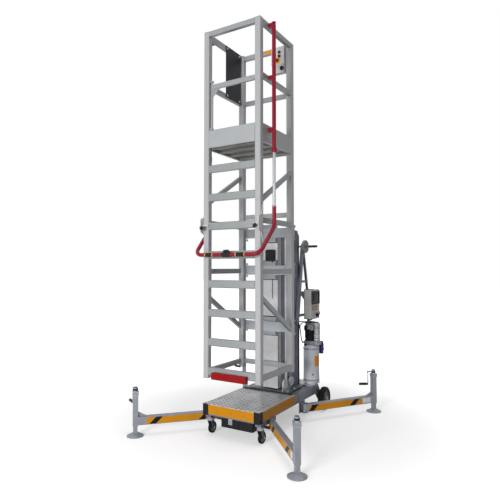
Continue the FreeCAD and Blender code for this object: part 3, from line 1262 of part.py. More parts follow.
def outriggers():
    """Four arms swing on upright pins; each ends in a screw jack with a crank."""
    for name, across, along, end, crank_way in CORNERS:
        px, py = f"{across} * {end}_pivot_x", f"{end}_pivot_y"
        fx, fy = f"{across} * foot_x", f"{along} * foot_y"
        run = f"sqrt(({fx} - {px})^2 + ({fy} - {py})^2)"
        way = f"atan2({fy} - {py}; {fx} - {px})"
        jack_near = f"{run} - jack_tube / 2"
        beam = box(f"arm_beam_{name}", (0, "-arm_wide / 2", "arm_low"),
            (f"{jack_near} + 2 * cut_over", "arm_wide", "arm_tall"))
        eye = rod(f"arm_eye_{name}", (0, 0, "arm_low"), "arm_wide / 2", "arm_tall")
        jack = box(
            f"jack_case_{name}", (jack_near, "-jack_tube / 2", "jack_low"),
            ("jack_tube", "jack_tube", "jack_high - jack_low"))
        collar = box(
            f"jack_collar_{name}",
            (f"{jack_near} - jack_collar", "-jack_tube / 2 - jack_collar", "jack_high - jack_collar_tall"),
            ("jack_tube + 2 * jack_collar", "jack_tube + 2 * jack_collar", "jack_collar_tall"))
        head = turned(f"jack_head_{name}", [
            ("0", "jack_high"), ("jack_head_radius", "jack_high"),
            ("jack_head_radius", "jack_head - jack_head_bevel"),
            ("jack_head_radius - jack_head_bevel", "jack_head"), ("0", "jack_head")], (run, 0, 0))
        wedge = [("0", "0"), ("0", "gusset_tall"), ("-gusset_long", "0")]
        gusset = extrusion(
            f"arm_gusset_{name}", "XZ_Plane", [wedge], "gusset_thick",
            (jack_near, "-gusset_thick / 2", "arm_top"))
        solid = fuse(f"arm_solid_{name}", [beam, eye, jack, collar, head, gusset])
        bores = [
            rod(f"arm_bore_{name}", (0, 0, "arm_low - cut_over"), "pivot_pin + running_fit",
                "arm_tall + 2 * cut_over"),
            box(f"jack_bore_{name}",
                (f"{jack_near} + jack_wall", "-jack_tube / 2 + jack_wall", "jack_low - cut_over"),
                ("jack_tube - 2 * jack_wall", "jack_tube - 2 * jack_wall",
                    "jack_high - jack_low - jack_roof + cut_over")),
        ]
        arm = cut(f"arm_cut_{name}", solid, bores)
        place(arm, (px, py, 0), spin=way)

        tube = box(f"leg_tube_{name}", ("-leg_tube / 2", "-leg_tube / 2", "foot_rim"),
                   ("leg_tube", "leg_tube", "leg_top - foot_rim"))
        cone = turned(f"foot_cone_{name}", [
            ("0", "0"), ("foot_radius", "0"), ("foot_radius", "foot_rim"), ("leg_tube * 0.75", "foot_high"),
            ("0", "foot_high")], (0, 0, 0))
        leg = fuse(f"leg_solid_{name}", [tube, cone])
        place(leg, (fx, fy, 0), spin=way)
        node(f"jack_leg_{name}", [leg])

        axis_z = "(jack_high + jack_head) / 2"
        start = "jack_head_radius / 2"
        shaft = rod(
            f"crank_shaft_{name}", (start, 0, axis_z), "crank_shaft",
            f"jack_tube / 2 + crank_out + crank_thick - {start}", TURN_TO_X)
        lever = box(
            f"crank_lever_{name}", ("jack_tube / 2 + crank_out", "-crank_flat / 2", f"{axis_z} - crank_long"),
            ("crank_thick", "crank_flat", "crank_long + crank_over"))
        grip = rod(
            f"crank_grip_{name}", ("jack_tube / 2 + crank_out + crank_thick", 0, f"{axis_z} - crank_long + grip_lift"),
            "grip_radius", "grip_long", TURN_TO_X)
        crank = fuse(f"crank_{name}", [shaft, lever, grip])
        place(crank, (fx, fy, 0), spin=crank_way)
        node(f"outrigger_{name}", [fuse(f"outrigger_solid_{name}", [arm, crank])])


# %% Power unit, cabinet and push frame at the rear


def power_unit():
    tank = [
        ("0", "tank_low"), ("tank_radius - tank_bevel", "tank_low"), ("tank_radius", "tank_low + tank_bevel"),
        ("tank_radius", "tank_top - tank_shoulder"),
        ("tank_radius - tank_shoulder / 3", "tank_top - tank_shoulder / 2"),
        ("tank_radius - tank_shoulder", "tank_top"),
        ("0", "tank_top"),
    ]
    shell = turned("tank_shell", tank, ("tank_x", "tank_y", 0))
    ring = rod("tank_foot", ("tank_x", "tank_y", "deck_top"), "tank_radius - tank_shoulder",
        "tank_low - deck_top")
    node("oil_tank", [fuse("tank_solid", [shell, ring])])
    block = box(
        "valve_block", ("tank_x - block_left", "tank_y - block_half", "block_low"),
        ("block_left + block_right", "2 * block_half", "block_tall"))
    can = [
        ("0", "block_top"), ("motor_radius", "block_top"), ("motor_radius", "motor_top - motor_bevel"),
        ("motor_radius - motor_bevel", "motor_top"), ("0", "motor_top"),
    ]
    motor = turned("pump_motor", can, ("tank_x - motor_shift", "tank_y", 0))
    node("pump_unit", [fuse("pump_unit_solid", [block, motor])])
    can = [
        ("0", "block_top"), ("filter_radius - filter_step", "block_top"),
        ("filter_radius", "block_top + 2 * filter_step"), ("filter_radius", "filter_top - filter_cap"),
        ("filter_radius - filter_step", "filter_top - filter_cap + filter_step"),
        ("filter_radius - filter_step", "filter_top"), ("0", "filter_top"),
    ]
    node("oil_filter", [turned("oil_filter_can", can, ("tank_x + filter_shift", "tank_y", 0))])


def hydraulic_hoses():
    """Two hoses from the duct behind the mast to the valve block."""
    corner_x = "tank_x + block_right - hose_inset - hose_radius"
    corner_y = "tank_y + block_half - hose_radius - cut_over"
    turn_y = "duct_back + hose_out"
    upper = [
        ("duct_half - hose_side", "duct_back", "hose_high"), ("duct_half - hose_side", turn_y, "hose_high"),
        (corner_x, turn_y, "hose_high"), (corner_x, corner_y, "hose_high - 2 * hose_radius"),
        (corner_x, corner_y, "block_top"),
    ]
    side_x = "tank_x - block_left - hose_side"
    side_z = "block_low + block_tall / 2"
    lower = [
        (side_x, "duct_back", "hose_low"), (side_x, turn_y, "hose_low"),
        (side_x, f"{turn_y} + hose_out", side_z),
        ("tank_x - block_left", f"{turn_y} + hose_out", side_z),
    ]
    node("hydraulic_hoses", [
        pipe("hose_upper", upper, "hose_radius", "hose_bend"),
        pipe("hose_lower", lower, "hose_radius", "hose_bend")])


def cabinet():
    """The lower control cabinet: a rounded case, a display under a hood and a selector."""
    case = extrusion("cabinet_case", "YZ_Plane", [[
        ("0", "0"), ("cabinet_long", "0"), ("cabinet_long", "cabinet_tall"), ("0", "cabinet_tall")]],
        "cabinet_wide", ("cabinet_left", "cabinet_front", "cabinet_low"))
    rounded(case, "cabinet_round", X_AXIS)
    low, high = "cabinet_top - window_drop - window_tall", "cabinet_top - window_drop"
    near, far = "cabinet_front + window_inset", "cabinet_front + cabinet_long - window_inset"
    outer = [(near, low), (far, low), (far, high), (near, high)]
    inner = [
        (f"{near} + window_rim", f"{low} + window_rim"), (f"{far} - window_rim", f"{low} + window_rim"),
        (f"{far} - window_rim", f"{high} - window_rim"), (f"{near} + window_rim", f"{high} - window_rim"),
    ]
    hood = extrusion("display_hood", "YZ_Plane", [outer, inner], "window_out", ("cabinet_face", 0, 0))
    glass = box("display_glass", ("cabinet_face", near, low),
        ("window_glass", f"{far} - ({near})", "window_tall"))
    knob = turned("selector_knob", [
        ("0", "0"), ("selector_base", "0"), ("selector_base", "selector_out / 4"),
        ("selector_radius", "selector_out / 3"), ("selector_radius * 0.9", "selector_out"),
        ("0", "selector_out")],
        ("cabinet_face", "cabinet_front + selector_along", "cabinet_low + selector_lift"), TURN_TO_X)
    node("control_cabinet", [fuse("control_cabinet_solid", [case, hood, glass, knob])])


def power_inlet():
    """A round plug inlet held on an arm behind the valve block."""
    y = "tank_y + block_half + inlet_behind"
    low = "inlet_top - inlet_tall"
    outline = [
        ("0", low), ("inlet_mouth", low), ("inlet_mouth", f"{low} + inlet_tall * 0.25"),
        ("inlet_collar", f"{low} + inlet_tall * 0.28"), ("inlet_collar", f"{low} + inlet_tall * 0.38"),
        ("inlet_radius", f"{low} + inlet_tall * 0.42"), ("inlet_radius", f"{low} + inlet_tall * 0.75"),
        ("inlet_radius * 0.7", "inlet_top"), ("0", "inlet_top"),
    ]
    body = turned("inlet_body", outline, ("inlet_x", y, 0))
    arm = box(
        "inlet_arm_plate", ("inlet_x - inlet_arm", "tank_y + block_half", "block_low + inlet_arm / 2"),
        ("2 * inlet_arm", "inlet_behind", "inlet_arm"))
    node("power_inlet", [fuse("inlet_solid", [body, arm])])


def push_frame():
    """Struts on the mast's flanks carry the loading wheels and, on the right, the cabinet."""
    lean = "(load_wheel_y - strut_front - strut_deep / 2) / (load_wheel_z - push_low)"
    pieces = []
    for side, sign in SIDES:
        x = "stage_half" if sign > 0 else "-strut_out"
        strut = [
            ("strut_front", "push_low"), ("strut_front + strut_deep", "push_low"),
            ("load_wheel_y + strut_deep / 2", "load_wheel_z"),
            ("load_wheel_y - strut_deep / 2", "load_wheel_z"),
        ]
        pieces.append(extrusion(f"push_strut_{side}", "YZ_Plane", [strut], "strut_thick", (x, 0, 0)))
        pieces.append(rod(
            f"push_boss_{side}", (x, "load_wheel_y", "load_wheel_z"), "strut_boss", "strut_thick", TURN_TO_X))
        # Columns: collar, its inner end and its length
        for name, start, length in (
                ("inner", "strut_out", "load_wheel_in - slide_fit - (strut_out)"),
                ("outer", "load_wheel_in + load_wheel_wide + slide_fit", "strut_thick / 3")):
            collar_x = start if sign > 0 else f"-({start} + {length})"
            pieces.append(rod(
                f"push_collar_{name}_{side}", (collar_x, "load_wheel_y", "load_wheel_z"),
                "push_collar", length,
                TURN_TO_X))
    reach = "load_wheel_in + load_wheel_wide + push_axle_out"
    pieces.append(rod(
        "push_axle_rod", (f"-({reach})", "load_wheel_y", "load_wheel_z"), "push_axle",
        f"2 * ({reach})", TURN_TO_X))
    leg = [
        ("load_wheel_y", "load_wheel_z"), ("load_wheel_y + leg_deep", "load_wheel_z"),
        ("leg_back + leg_deep / 2", "cabinet_top + shelf_thick"),
        ("leg_back - leg_deep / 2", "cabinet_top + shelf_thick"),
    ]
    pieces.append(extrusion("push_leg", "YZ_Plane", [leg], "strut_thick", ("stage_half", 0, 0)))
    front = f"strut_front + strut_deep / 2 + ({lean}) * (link_low - push_low)"
    pieces.append(box(
        "push_link", ("stage_half + link_inset", front, "link_low"),
        ("strut_thick - 2 * link_inset", f"leg_back - leg_deep - ({front})", "link_tall")))
    pieces.append(box(
        "cabinet_shelf", ("stage_half", "leg_back - shelf_long / 2", "cabinet_top"),
        ("shelf_wide", "shelf_long", "shelf_thick")))
    stay_front = f"strut_front + strut_deep / 2 + ({lean}) * (stay_low - push_low)"
    pieces.append(box(
        "cabinet_stay", ("stage_half", stay_front, "stay_low"),
        ("strut_thick", f"cabinet_front - ({stay_front})", "stay_tall")))
    strap_front = f"strut_front + strut_deep / 2 + ({lean}) * (strap_high - push_low)"
    strap = [
        (strap_front, "strap_high - stay_tall"), ("cabinet_front", "strap_low"),
        ("cabinet_front", "strap_high - shelf_thick"),
        (strap_front, "strap_high"),
    ]
    pieces.append(extrusion(
        "cabinet_strap", "YZ_Plane", [strap], "shelf_thick", ("strut_out - shelf_thick", 0, 0)))
    node("push_frame", [fuse("push_frame_solid", pieces)])
    half, bore = "load_wheel_wide / 2", "push_axle + running_fit"
    rim, lip = "load_wheel_radius - load_tyre", "load_wheel_radius - load_tyre + load_edge"
    edge = "load_wheel_radius - load_edge"
    profile = [
        (bore, f"-({half})"), ("load_hub_radius", f"-({half})"), ("load_hub_radius", "-load_web"),
        (rim, "-load_web"),
        (lip, f"-({half})"), (edge, f"-({half})"), ("load_wheel_radius", f"load_edge - {half}"),
        ("load_wheel_radius", f"{half} - load_edge"), (edge, half), (lip, half), (rim, "load_web"),
        ("load_hub_radius", "load_web"), ("load_hub_radius", half), (bore, half),
    ]
    for side, sign in SIDES:
        node(f"loading_wheel_{side}", [turned(
            f"loading_wheel_body_{side}", profile, (f"{sign} * load_wheel_x", "load_wheel_y", "load_wheel_z"),
            TURN_TO_X)])


# %% Assembly

cage_posts()
rungs()
cage_rails()
cage_braces()
saddles()
splices()
bumper()
basket_floor()
toe_boards()
side_panel()
console()
guard_sleeves()
gate_hinges()
gate()
guard_bar()
mast()
mast_foot()
chassis()
chassis_brackets()
fixed_pins()
castors()
rear_wheels()
outriggers()
power_unit()
hydraulic_hoses()
cabinet()
power_inlet()
push_frame()

# %% Check and export

doc.recompute()
failed = [item.Name for item in doc.Objects if {"Invalid", "Error"} & set(item.State)]
if failed:
    raise RuntimeError("failed objects: " + ", ".join(failed))
for item in NODES:
    if item.Shape.isNull() or not item.Shape.isValid() or not item.Shape.Solids:
        raise RuntimeError("bad shape: " + item.Label)

os.makedirs("parts", exist_ok=True)
for item in NODES:
    item.Shape.exportStep(f"parts/{item.Label}.step")
print(len(NODES), "nodes")
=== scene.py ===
# %% [markdown]
# A vertical mast lift, dressed for a picture.
# The real machine is an aluminium ladder cage that climbs a telescopic mast on
# a small steel chassis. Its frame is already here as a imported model, at its
# real size in metres, with +X to the operator's right, +Y to the back and +Z
# up. This lesson gives each part its finish and adds what is too small for the
# frame: treads, bolts, tapes, covers, knobs and rigid pipes. Loading the packed
# model, and not drawing a new one, keeps every joint and size as it was built.

import bpy
import bmesh
import numpy as np
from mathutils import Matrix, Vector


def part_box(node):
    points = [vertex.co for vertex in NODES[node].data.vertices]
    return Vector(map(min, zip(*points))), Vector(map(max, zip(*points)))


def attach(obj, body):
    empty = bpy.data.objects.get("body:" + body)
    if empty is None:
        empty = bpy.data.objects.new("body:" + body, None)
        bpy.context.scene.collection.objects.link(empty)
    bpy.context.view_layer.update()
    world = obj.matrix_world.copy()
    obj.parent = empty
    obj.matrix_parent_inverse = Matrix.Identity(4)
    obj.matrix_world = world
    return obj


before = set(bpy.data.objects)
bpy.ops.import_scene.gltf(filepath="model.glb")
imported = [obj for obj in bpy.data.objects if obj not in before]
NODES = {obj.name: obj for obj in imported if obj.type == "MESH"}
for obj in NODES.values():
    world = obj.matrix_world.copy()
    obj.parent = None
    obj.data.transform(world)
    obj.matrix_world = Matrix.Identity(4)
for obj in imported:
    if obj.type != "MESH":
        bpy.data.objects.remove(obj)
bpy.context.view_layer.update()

# %% [markdown]
# Every added piece is a surface over a grid of two parameters. A grid becomes
# quads by joining each point to its neighbours, and a closed direction joins
# the last row to the first. Shapes are kept as a pair: an array of points and
# an array of quads. Pairs are easy to copy, move and join before any object is
# made, so hundreds of rivets cost one mesh.

# %% Shapes as pairs of points and quads


def grid(points, around=True, along=False):
    """Quads over points[i, j]; 'around' closes j and 'along' closes i."""
    rows, columns = points.shape[:2]
    index = np.arange(rows * columns).reshape(rows, columns)
    if around:
        index = np.concatenate([index, index[:, :1]], axis=1)
    if along:
        index = np.concatenate([index, index[:1]], axis=0)
    quads = np.stack(
        [index[:-1, :-1], index[:-1, 1:], index[1:, 1:], index[1:, :-1]], axis=-1)
    return points.reshape(-1, 3), quads.reshape(-1, 4)


def capped(points):
    """A tube of rings whose two ends are drawn in to their own centres."""
    first = np.repeat(points[:1].mean(axis=1, keepdims=True), points.shape[1], axis=1)
    last = np.repeat(points[-1:].mean(axis=1, keepdims=True), points.shape[1], axis=1)
    return grid(np.concatenate([first, points, last]))


def joined(shapes):
    """Several shapes as one: the quads of each are shifted past the points before it."""
    starts = np.cumsum([0] + [len(points) for points, quads in shapes[:-1]])
    points = np.concatenate([shape[0] for shape in shapes])
    quads = np.concatenate([shape[1] + start for shape, start in zip(shapes, starts)])
    return points, quads


def copies(shape, places):
    """The shape repeated at each place: points plus place, as one array."""
    points, quads = shape
    places = np.asarray(places, float).reshape(-1, 3)
    many = (points[None] + places[:, None]).reshape(-1, 3)
    shift = np.arange(len(places))[:, None, None] * len(points)
    return many, (quads[None] + shift).reshape(-1, 4)


def turned_to(shape, axis, at=(0, 0, 0)):
    """The shape with its +Z laid along an axis, then moved."""
    way = np.asarray(axis, float) / np.linalg.norm(axis)
    helper = np.array([1.0, 0, 0]) if abs(way[0]) < 0.9 else np.array([0, 1.0, 0])
    side = np.cross(helper, way)
    side /= np.linalg.norm(side)
    basis = np.stack([np.cross(side, way) * -1, side, way])
    return shape[0] @ basis + np.asarray(at, float), shape[1]


def moved(shape, at):
    """The shape moved to a place."""
    return shape[0] + np.asarray(at, float), shape[1]


def flipped(shape, signs):
    """The shape with each of X, Y and Z multiplied by a sign; piece() mends the faces."""
    return shape[0] * signs, shape[1]


def turned_about(shape, angle, at):
    """The shape turned about +Z by an angle and moved: (x cos - y sin, x sin + y cos, z)."""
    cos, sin = np.cos(angle), np.sin(angle)
    matrix = np.array([[cos, sin, 0], [-sin, cos, 0], [0, 0, 1]])
    return shape[0] @ matrix + np.asarray(at, float), shape[1]


def around_z(shape, count, at, shift=0.0):
    """Copies of a shape at equal angles about a vertical axis, the first turned by 'shift'."""
    return [turned_about(shape, shift + 2 * np.pi * turn / count, at) for turn in range(count)]


# %% [markdown]
# Screw heads, caps, rings, plugs and discs are all round, so most small pieces
# come from one profile turned about an axis. Covers and plates come from one
# rounded box. Both are drawn upright at the origin first and laid along an axis
# afterwards, because a profile is easiest to read that way.

# %% Round shapes
FRONT, BACK = (0, -1, 0), (0, 1, 0)
UP, DOWN = (0, 0, 1), (0, 0, -1)
SIDEWAYS = (1, 0, 0)
SIDES = (("left", -1), ("right", 1))
SIGNS = (-1, 1)


def lathe(profile, steps=24):
    """Radius and height pairs turned about +Z: (r cos a, r sin a, h).

    A profile whose ends are off the axis is a ring, so its last row joins the first.
    """
    profile = np.asarray(profile, float)
    angle = np.linspace(0, 2 * np.pi, steps, endpoint=False)
    ring = np.stack([np.cos(angle), np.sin(angle)], axis=-1)
    points = np.concatenate([
        profile[:, None, :1] * ring[None],
        np.broadcast_to(profile[:, None, 1:], (len(profile), steps, 1))], axis=-1)
    return grid(points, along=bool(profile[0, 0] > 0 and profile[-1, 0] > 0))


def knob(radius, height, edge=0.25, steps=20):
    """A round head: a lathe whose top edge is a quarter circle."""
    curve = np.linspace(0, np.pi / 2, 5)
    rim = radius * edge
    top = np.stack([
        radius - rim + rim * np.cos(curve), height - rim + rim * np.sin(curve)], axis=-1)
    return lathe(np.concatenate([[[0, 0], [radius, 0]], top, [[0, height]]]), steps)


def puck(radius, height, steps):
    """A plain disc or pin: a lathe of three straight lines."""
    return lathe([[0, 0], [radius, 0], [radius, height], [0, height]], steps)


def hoop(inner, outer, half, steps):
    """A flat ring: a rectangle from -half to half, carried round the axis."""
    return lathe([[inner, -half], [outer, -half], [outer, half], [inner, half]], steps)


def hexagon(radius, height):
    """A bolt head: a lathe of six steps with its top edge drawn in."""
    profile = [[0, 0], [radius, 0], [radius, height * 0.8], [radius * 0.86, height], [0, height]]
    return lathe(profile, 6)


print("round shapes: lathe, knob, puck, hoop, hexagon")

# %% [markdown]
# Lids, plates and clips are boxes with broken edges, and a sharp box would show
# no highlight along them. A Bevel modifier could round each one, but then every
# box would be an object of its own. A rounded outline carried along an axis gives
# the same form as an array, which is copied and joined with the others.

# %% Rounded boxes


def block(low, high, edge=0.004, arcs=3, axis=2):
    """A box with rounded edges: a rounded rectangle carried along an axis.

    Near both ends the outline draws in by the same quarter circle as its corners.
    """
    low, high = np.asarray(low, float), np.asarray(high, float)
    order = [(axis + 1) % 3, (axis + 2) % 3, axis]
    half = (high - low)[order] / 2
    edge = min(edge, half.min() * 0.98)
    quarter = np.linspace(0, np.pi / 2, arcs + 1)
    corner = np.concatenate(
        [quarter, quarter + np.pi / 2, quarter + np.pi, quarter + 1.5 * np.pi])
    across = np.repeat([1, -1, -1, 1], arcs + 1)
    up = np.repeat([1, 1, -1, -1], arcs + 1)
    inset = edge * (1 - np.sin(quarter))
    height = edge * (1 - np.cos(quarter))
    inset = np.concatenate([inset, inset[::-1]])
    height = np.concatenate([height - half[2], half[2] - height[::-1]])
    round_x = across * (half[0] - edge) + edge * np.cos(corner)
    round_y = up * (half[1] - edge) + edge * np.sin(corner)
    reach = 1 - inset[:, None] / np.array([[half[0], half[1]]])
    points = np.stack([
        round_x[None] * reach[:, :1], round_y[None] * reach[:, 1:],
        np.broadcast_to(height[:, None], (len(height), len(corner)))], axis=-1)
    placed = np.empty_like(points)
    placed[..., order] = points
    shape = capped(placed)
    return shape[0] + (low + high) / 2, shape[1]


print("box: block")

# %% [markdown]
# A pipe is a ring carried along a smooth route through a few corners. The route
# comes first, a cubic between each two corners, so that it passes through them
# all. The ring is then set square to the route at every point, because a ring
# that kept one direction would pinch the pipe at its bends.

# %% Tubes along a route


def smooth_route(corners, per_run):
    """A curve through given corners.

    Each run is a cubic, and its slope at a corner is half the chord of the neighbours.
    """
    corners = np.asarray(corners, float)
    padded = np.concatenate([
        2 * corners[:1] - corners[1:2], corners, 2 * corners[-1:] - corners[-2:-1]])
    slope = (padded[2:] - padded[:-2]) / 2
    t = np.linspace(0, 1, per_run, endpoint=False)[None, :, None]
    start, end = corners[:-1, None], corners[1:, None]
    leave, arrive = slope[:-1, None], slope[1:, None]
    runs = ((2 * t**3 - 3 * t**2 + 1) * start + (t**3 - 2 * t**2 + t) * leave
            + (3 * t**2 - 2 * t**3) * end + (t**3 - t**2) * arrive)
    return np.concatenate([runs.reshape(-1, 3), corners[-1:]])


def tube(route, radius, steps):
    """A ring carried along a route: centre + r (n cos a + b sin a), n square to the route."""
    route = np.asarray(route, float)
    along = np.gradient(route, axis=0)
    along /= np.linalg.norm(along, axis=1, keepdims=True)
    spread = np.linalg.svd(route - route.mean(axis=0))[2][-1]
    side = np.cross(along, spread)
    side /= np.linalg.norm(side, axis=1, keepdims=True)
    over = np.cross(side, along)
    angle = np.linspace(0, 2 * np.pi, steps, endpoint=False)
    radius = np.broadcast_to(radius, len(route))[:, None, None]
    points = route[:, None] + radius * (
        side[:, None] * np.cos(angle)[None, :, None]
        + over[:, None] * np.sin(angle)[None, :, None])
    return capped(points)


print("long shapes: smooth_route, tube")

# %% [markdown]
# A pair becomes an object in one place, so that every piece gets the same care:
# doubled points at poles are merged, the faces are turned outwards, and edges
# sharper than 35 degrees stay sharp. Each piece rides on a body of the frame,
# so it moves when that body moves. The object itself stays at the origin, which
# keeps patterns in place that are drawn on Object coordinates.

# %% From a shape to a piece
SHARP = np.radians(35)
MERGE_WITHIN = 1e-6
THINNEST = 1e-7


def piece(name, body, shape, material):
    """Make one object from a shape, dress it, and let it ride on a body."""
    points, quads = shape
    mesh = bpy.data.meshes.new(name)
    mesh.from_pydata(points.tolist(), [], quads.tolist())
    work = bmesh.new()
    work.from_mesh(mesh)
    bmesh.ops.remove_doubles(work, verts=work.verts, dist=MERGE_WITHIN)
    bmesh.ops.dissolve_degenerate(work, dist=THINNEST, edges=work.edges)
    bmesh.ops.recalc_face_normals(work, faces=work.faces)
    work.to_mesh(mesh)
    work.free()
    mesh.shade_smooth()
    mesh.set_sharp_from_angle(angle=SHARP)
    mesh.materials.append(material)
    thing = bpy.data.objects.new(name, mesh)
    bpy.context.scene.collection.objects.link(thing)
    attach(thing, body)
    return thing


# %% [markdown]
# Three effects come back in many finishes: grain, wear at the edges and grime.
# Copying their nodes into each material would work, but a change would have to
# be made dozens of times. So each is a node group with named sockets, built once
# and placed with other values in each finish.

# %% Tools for node groups


def new_group(name, inputs, outputs):
    """A shader group with float inputs (name, default) and named outputs."""
    group = bpy.data.node_groups.new(name, "ShaderNodeTree")
    for label, default in inputs:
        socket = group.interface.new_socket(
            name=label, in_out="INPUT", socket_type="NodeSocketFloat")
        socket.default_value = default
    for label, kind in outputs:
        group.interface.new_socket(name=label, in_out="OUTPUT", socket_type=kind)
    return group, group.nodes.new("NodeGroupInput"), group.nodes.new("NodeGroupOutput")


def math_node(tree, operation, first, second=None, clamp=False):
    """A Math node whose inputs are sockets or numbers."""
    node = tree.nodes.new("ShaderNodeMath")
    node.operation = operation
    node.use_clamp = clamp
    for slot, value in enumerate((first, second)):
        if value is None:
            continue
        if isinstance(value, (int, float)):
            node.inputs[slot].default_value = value
        else:
            tree.links.new(value, node.inputs[slot])
    return node.outputs[0]


print("node tools: new_group, math_node")

# %% [markdown]
# Grain stands for die lines, zinc clouds and the pebble of a moulding. All are
# one noise, made finer or coarser by its scale and drawn out along an axis by
# squeezing the coordinates before they reach it.

# %% Grain group


def grain_group():
    """Noise over Object coordinates, squeezed along X, Y and Z by the Stretch inputs."""
    group, start, end = new_group("die grain", [
        ("Scale", 60.0), ("Stretch X", 1.0), ("Stretch Y", 1.0), ("Stretch Z", 1.0)],
        [("Value", "NodeSocketFloat")])
    place = group.nodes.new("ShaderNodeTexCoord")
    squeeze = group.nodes.new("ShaderNodeCombineXYZ")
    for slot, label in enumerate(("Stretch X", "Stretch Y", "Stretch Z")):
        group.links.new(start.outputs[label], squeeze.inputs[slot])
    scaled = group.nodes.new("ShaderNodeVectorMath")
    scaled.operation = "MULTIPLY"
    group.links.new(place.outputs["Object"], scaled.inputs[0])
    group.links.new(squeeze.outputs[0], scaled.inputs[1])
    noise = group.nodes.new("ShaderNodeTexNoise")
    noise.inputs["Detail"].default_value = 3
    group.links.new(scaled.outputs[0], noise.inputs["Vector"])
    group.links.new(start.outputs["Scale"], noise.inputs["Scale"])
    group.links.new(noise.outputs[0], end.inputs["Value"])
    return group


GRAIN = grain_group()
print("node group:", GRAIN.name)

# %% [markdown]
# Edges lose their coat first. The node called Pointiness finds them too, but it
# depends on how fine the mesh is. The Bevel node gives the normal of a rounded
# edge instead, and where that differs from the true one there is an edge. A
# noise breaks the mask up, since nothing wears evenly.

# %% Wear group
WEAR_SHARP = 12.0


def wear_group():
    """A mask near edges: one minus rounded normal dot true normal, broken up by noise."""
    group, start, end = new_group(
        "edge wear", [("Radius", 0.003), ("Amount", 1.0)], [("Mask", "NodeSocketFloat")])
    rounded = group.nodes.new("ShaderNodeBevel")
    rounded.samples = 4
    group.links.new(start.outputs["Radius"], rounded.inputs["Radius"])
    true = group.nodes.new("ShaderNodeNewGeometry")
    dot = group.nodes.new("ShaderNodeVectorMath")
    dot.operation = "DOT_PRODUCT"
    group.links.new(rounded.outputs[0], dot.inputs[0])
    group.links.new(true.outputs["Normal"], dot.inputs[1])
    bend = math_node(group, "SUBTRACT", 1.0, dot.outputs["Value"])
    place = group.nodes.new("ShaderNodeTexCoord")
    noise = group.nodes.new("ShaderNodeTexNoise")
    noise.inputs["Scale"].default_value = 45
    noise.inputs["Detail"].default_value = 4
    group.links.new(place.outputs["Object"], noise.inputs["Vector"])
    patchy = math_node(group, "MULTIPLY", bend, noise.outputs[0])
    strong = math_node(group, "MULTIPLY", patchy, start.outputs["Amount"])
    mask = math_node(group, "MULTIPLY", strong, WEAR_SHARP, clamp=True)
    group.links.new(mask, end.inputs["Mask"])
    return group


WEAR = wear_group()
print("node group:", WEAR.name)

# %% [markdown]
# Dirt settles in patches, and more of it on faces that look up. A slow noise
# gives the patches, and the Z of the normal tells which way a face looks, so
# decks and rungs get dusty and posts stay clean with no painting by hand.

# %% Grime group
GRIME_FROM = 0.42
GRIME_SHARP = 4.0


def grime_group():
    """A slow patchy noise, raised on faces that look up."""
    group, start, end = new_group(
        "grime", [("Scale", 5.0), ("Amount", 0.3)], [("Mask", "NodeSocketFloat")])
    place = group.nodes.new("ShaderNodeTexCoord")
    noise = group.nodes.new("ShaderNodeTexNoise")
    noise.inputs["Detail"].default_value = 5
    noise.inputs["Roughness"].default_value = 0.65
    group.links.new(place.outputs["Object"], noise.inputs["Vector"])
    group.links.new(start.outputs["Scale"], noise.inputs["Scale"])
    patchy = math_node(group, "SUBTRACT", noise.outputs[0], GRIME_FROM, clamp=True)
    true = group.nodes.new("ShaderNodeNewGeometry")
    split = group.nodes.new("ShaderNodeSeparateXYZ")
    group.links.new(true.outputs["Normal"], split.inputs[0])
    lying = math_node(group, "MULTIPLY", split.outputs["Z"], 1.5, clamp=True)
    more = math_node(group, "ADD", lying, 1.0)
    soiled = math_node(group, "MULTIPLY", patchy, more)
    strong = math_node(group, "MULTIPLY", soiled, start.outputs["Amount"])
    mask = math_node(group, "MULTIPLY", strong, GRIME_SHARP, clamp=True)
    group.links.new(mask, end.inputs["Mask"])
    return group


GRIME = grime_group()
print("node group:", GRIME.name)

# %% [markdown]
# A finish is a tree of nodes, and each node takes several lines to place and
# link. Four small functions keep a finish readable: one places a group, one mixes
# two colours by a mask, one turns display values from 0 to 255 into the light
# that Blender works with, and one makes a colour darker or lighter.

# %% Tools for finishes


def use_group(tree, group, **values):
    """Place a group in a material with its own values."""
    node = tree.nodes.new("ShaderNodeGroup")
    node.node_tree = group
    for label, value in values.items():
        node.inputs[label.replace("_", " ")].default_value = value
    return node.outputs[0]


def mixed(tree, share, first, second, mode="MIX"):
    """Colours mixed by a mask; a colour may be a tuple or a socket."""
    node = tree.nodes.new("ShaderNodeMix")
    node.data_type = "RGBA"
    node.blend_type = mode
    tree.links.new(share, node.inputs[0])
    for slot, value in ((6, first), (7, second)):
        if isinstance(value, tuple):
            node.inputs[slot].default_value = (*value, 1.0)
        else:
            tree.links.new(value, node.inputs[slot])
    return node.outputs[2]


def linear(red, green, blue):
    """A colour given in display values 0 to 255, as the light it stands for."""
    values = np.array([red, green, blue]) / 255
    light = np.where(values <= 0.04045, values / 12.92, ((values + 0.055) / 1.055) ** 2.4)
    return tuple(float(value) for value in light)


def shaded(colour, share):
    """The same colour, darker or lighter."""
    return tuple(min(1.0, value * share) for value in colour)


print("finish tools: use_group, mixed, linear, shaded")

# %% [markdown]
# One function builds most finishes: a colour, darkened a little by grain, soiled
# by grime and rubbed bright or pale at the edges. Metals here are anodised,
# galvanised or painted, none of them a mirror, so their metallic share is low
# and their roughness is broken up by the same grain. Painted pictures could hold
# all this, but noise on Object coordinates needs no unwrapping and never repeats.

# %% A finish
GREY_DUST = (0.16, 0.145, 0.125)
WEAR_RADIUS = 0.003
ROUGH_SWING = 0.3
BUMP_HEIGHT = 0.001


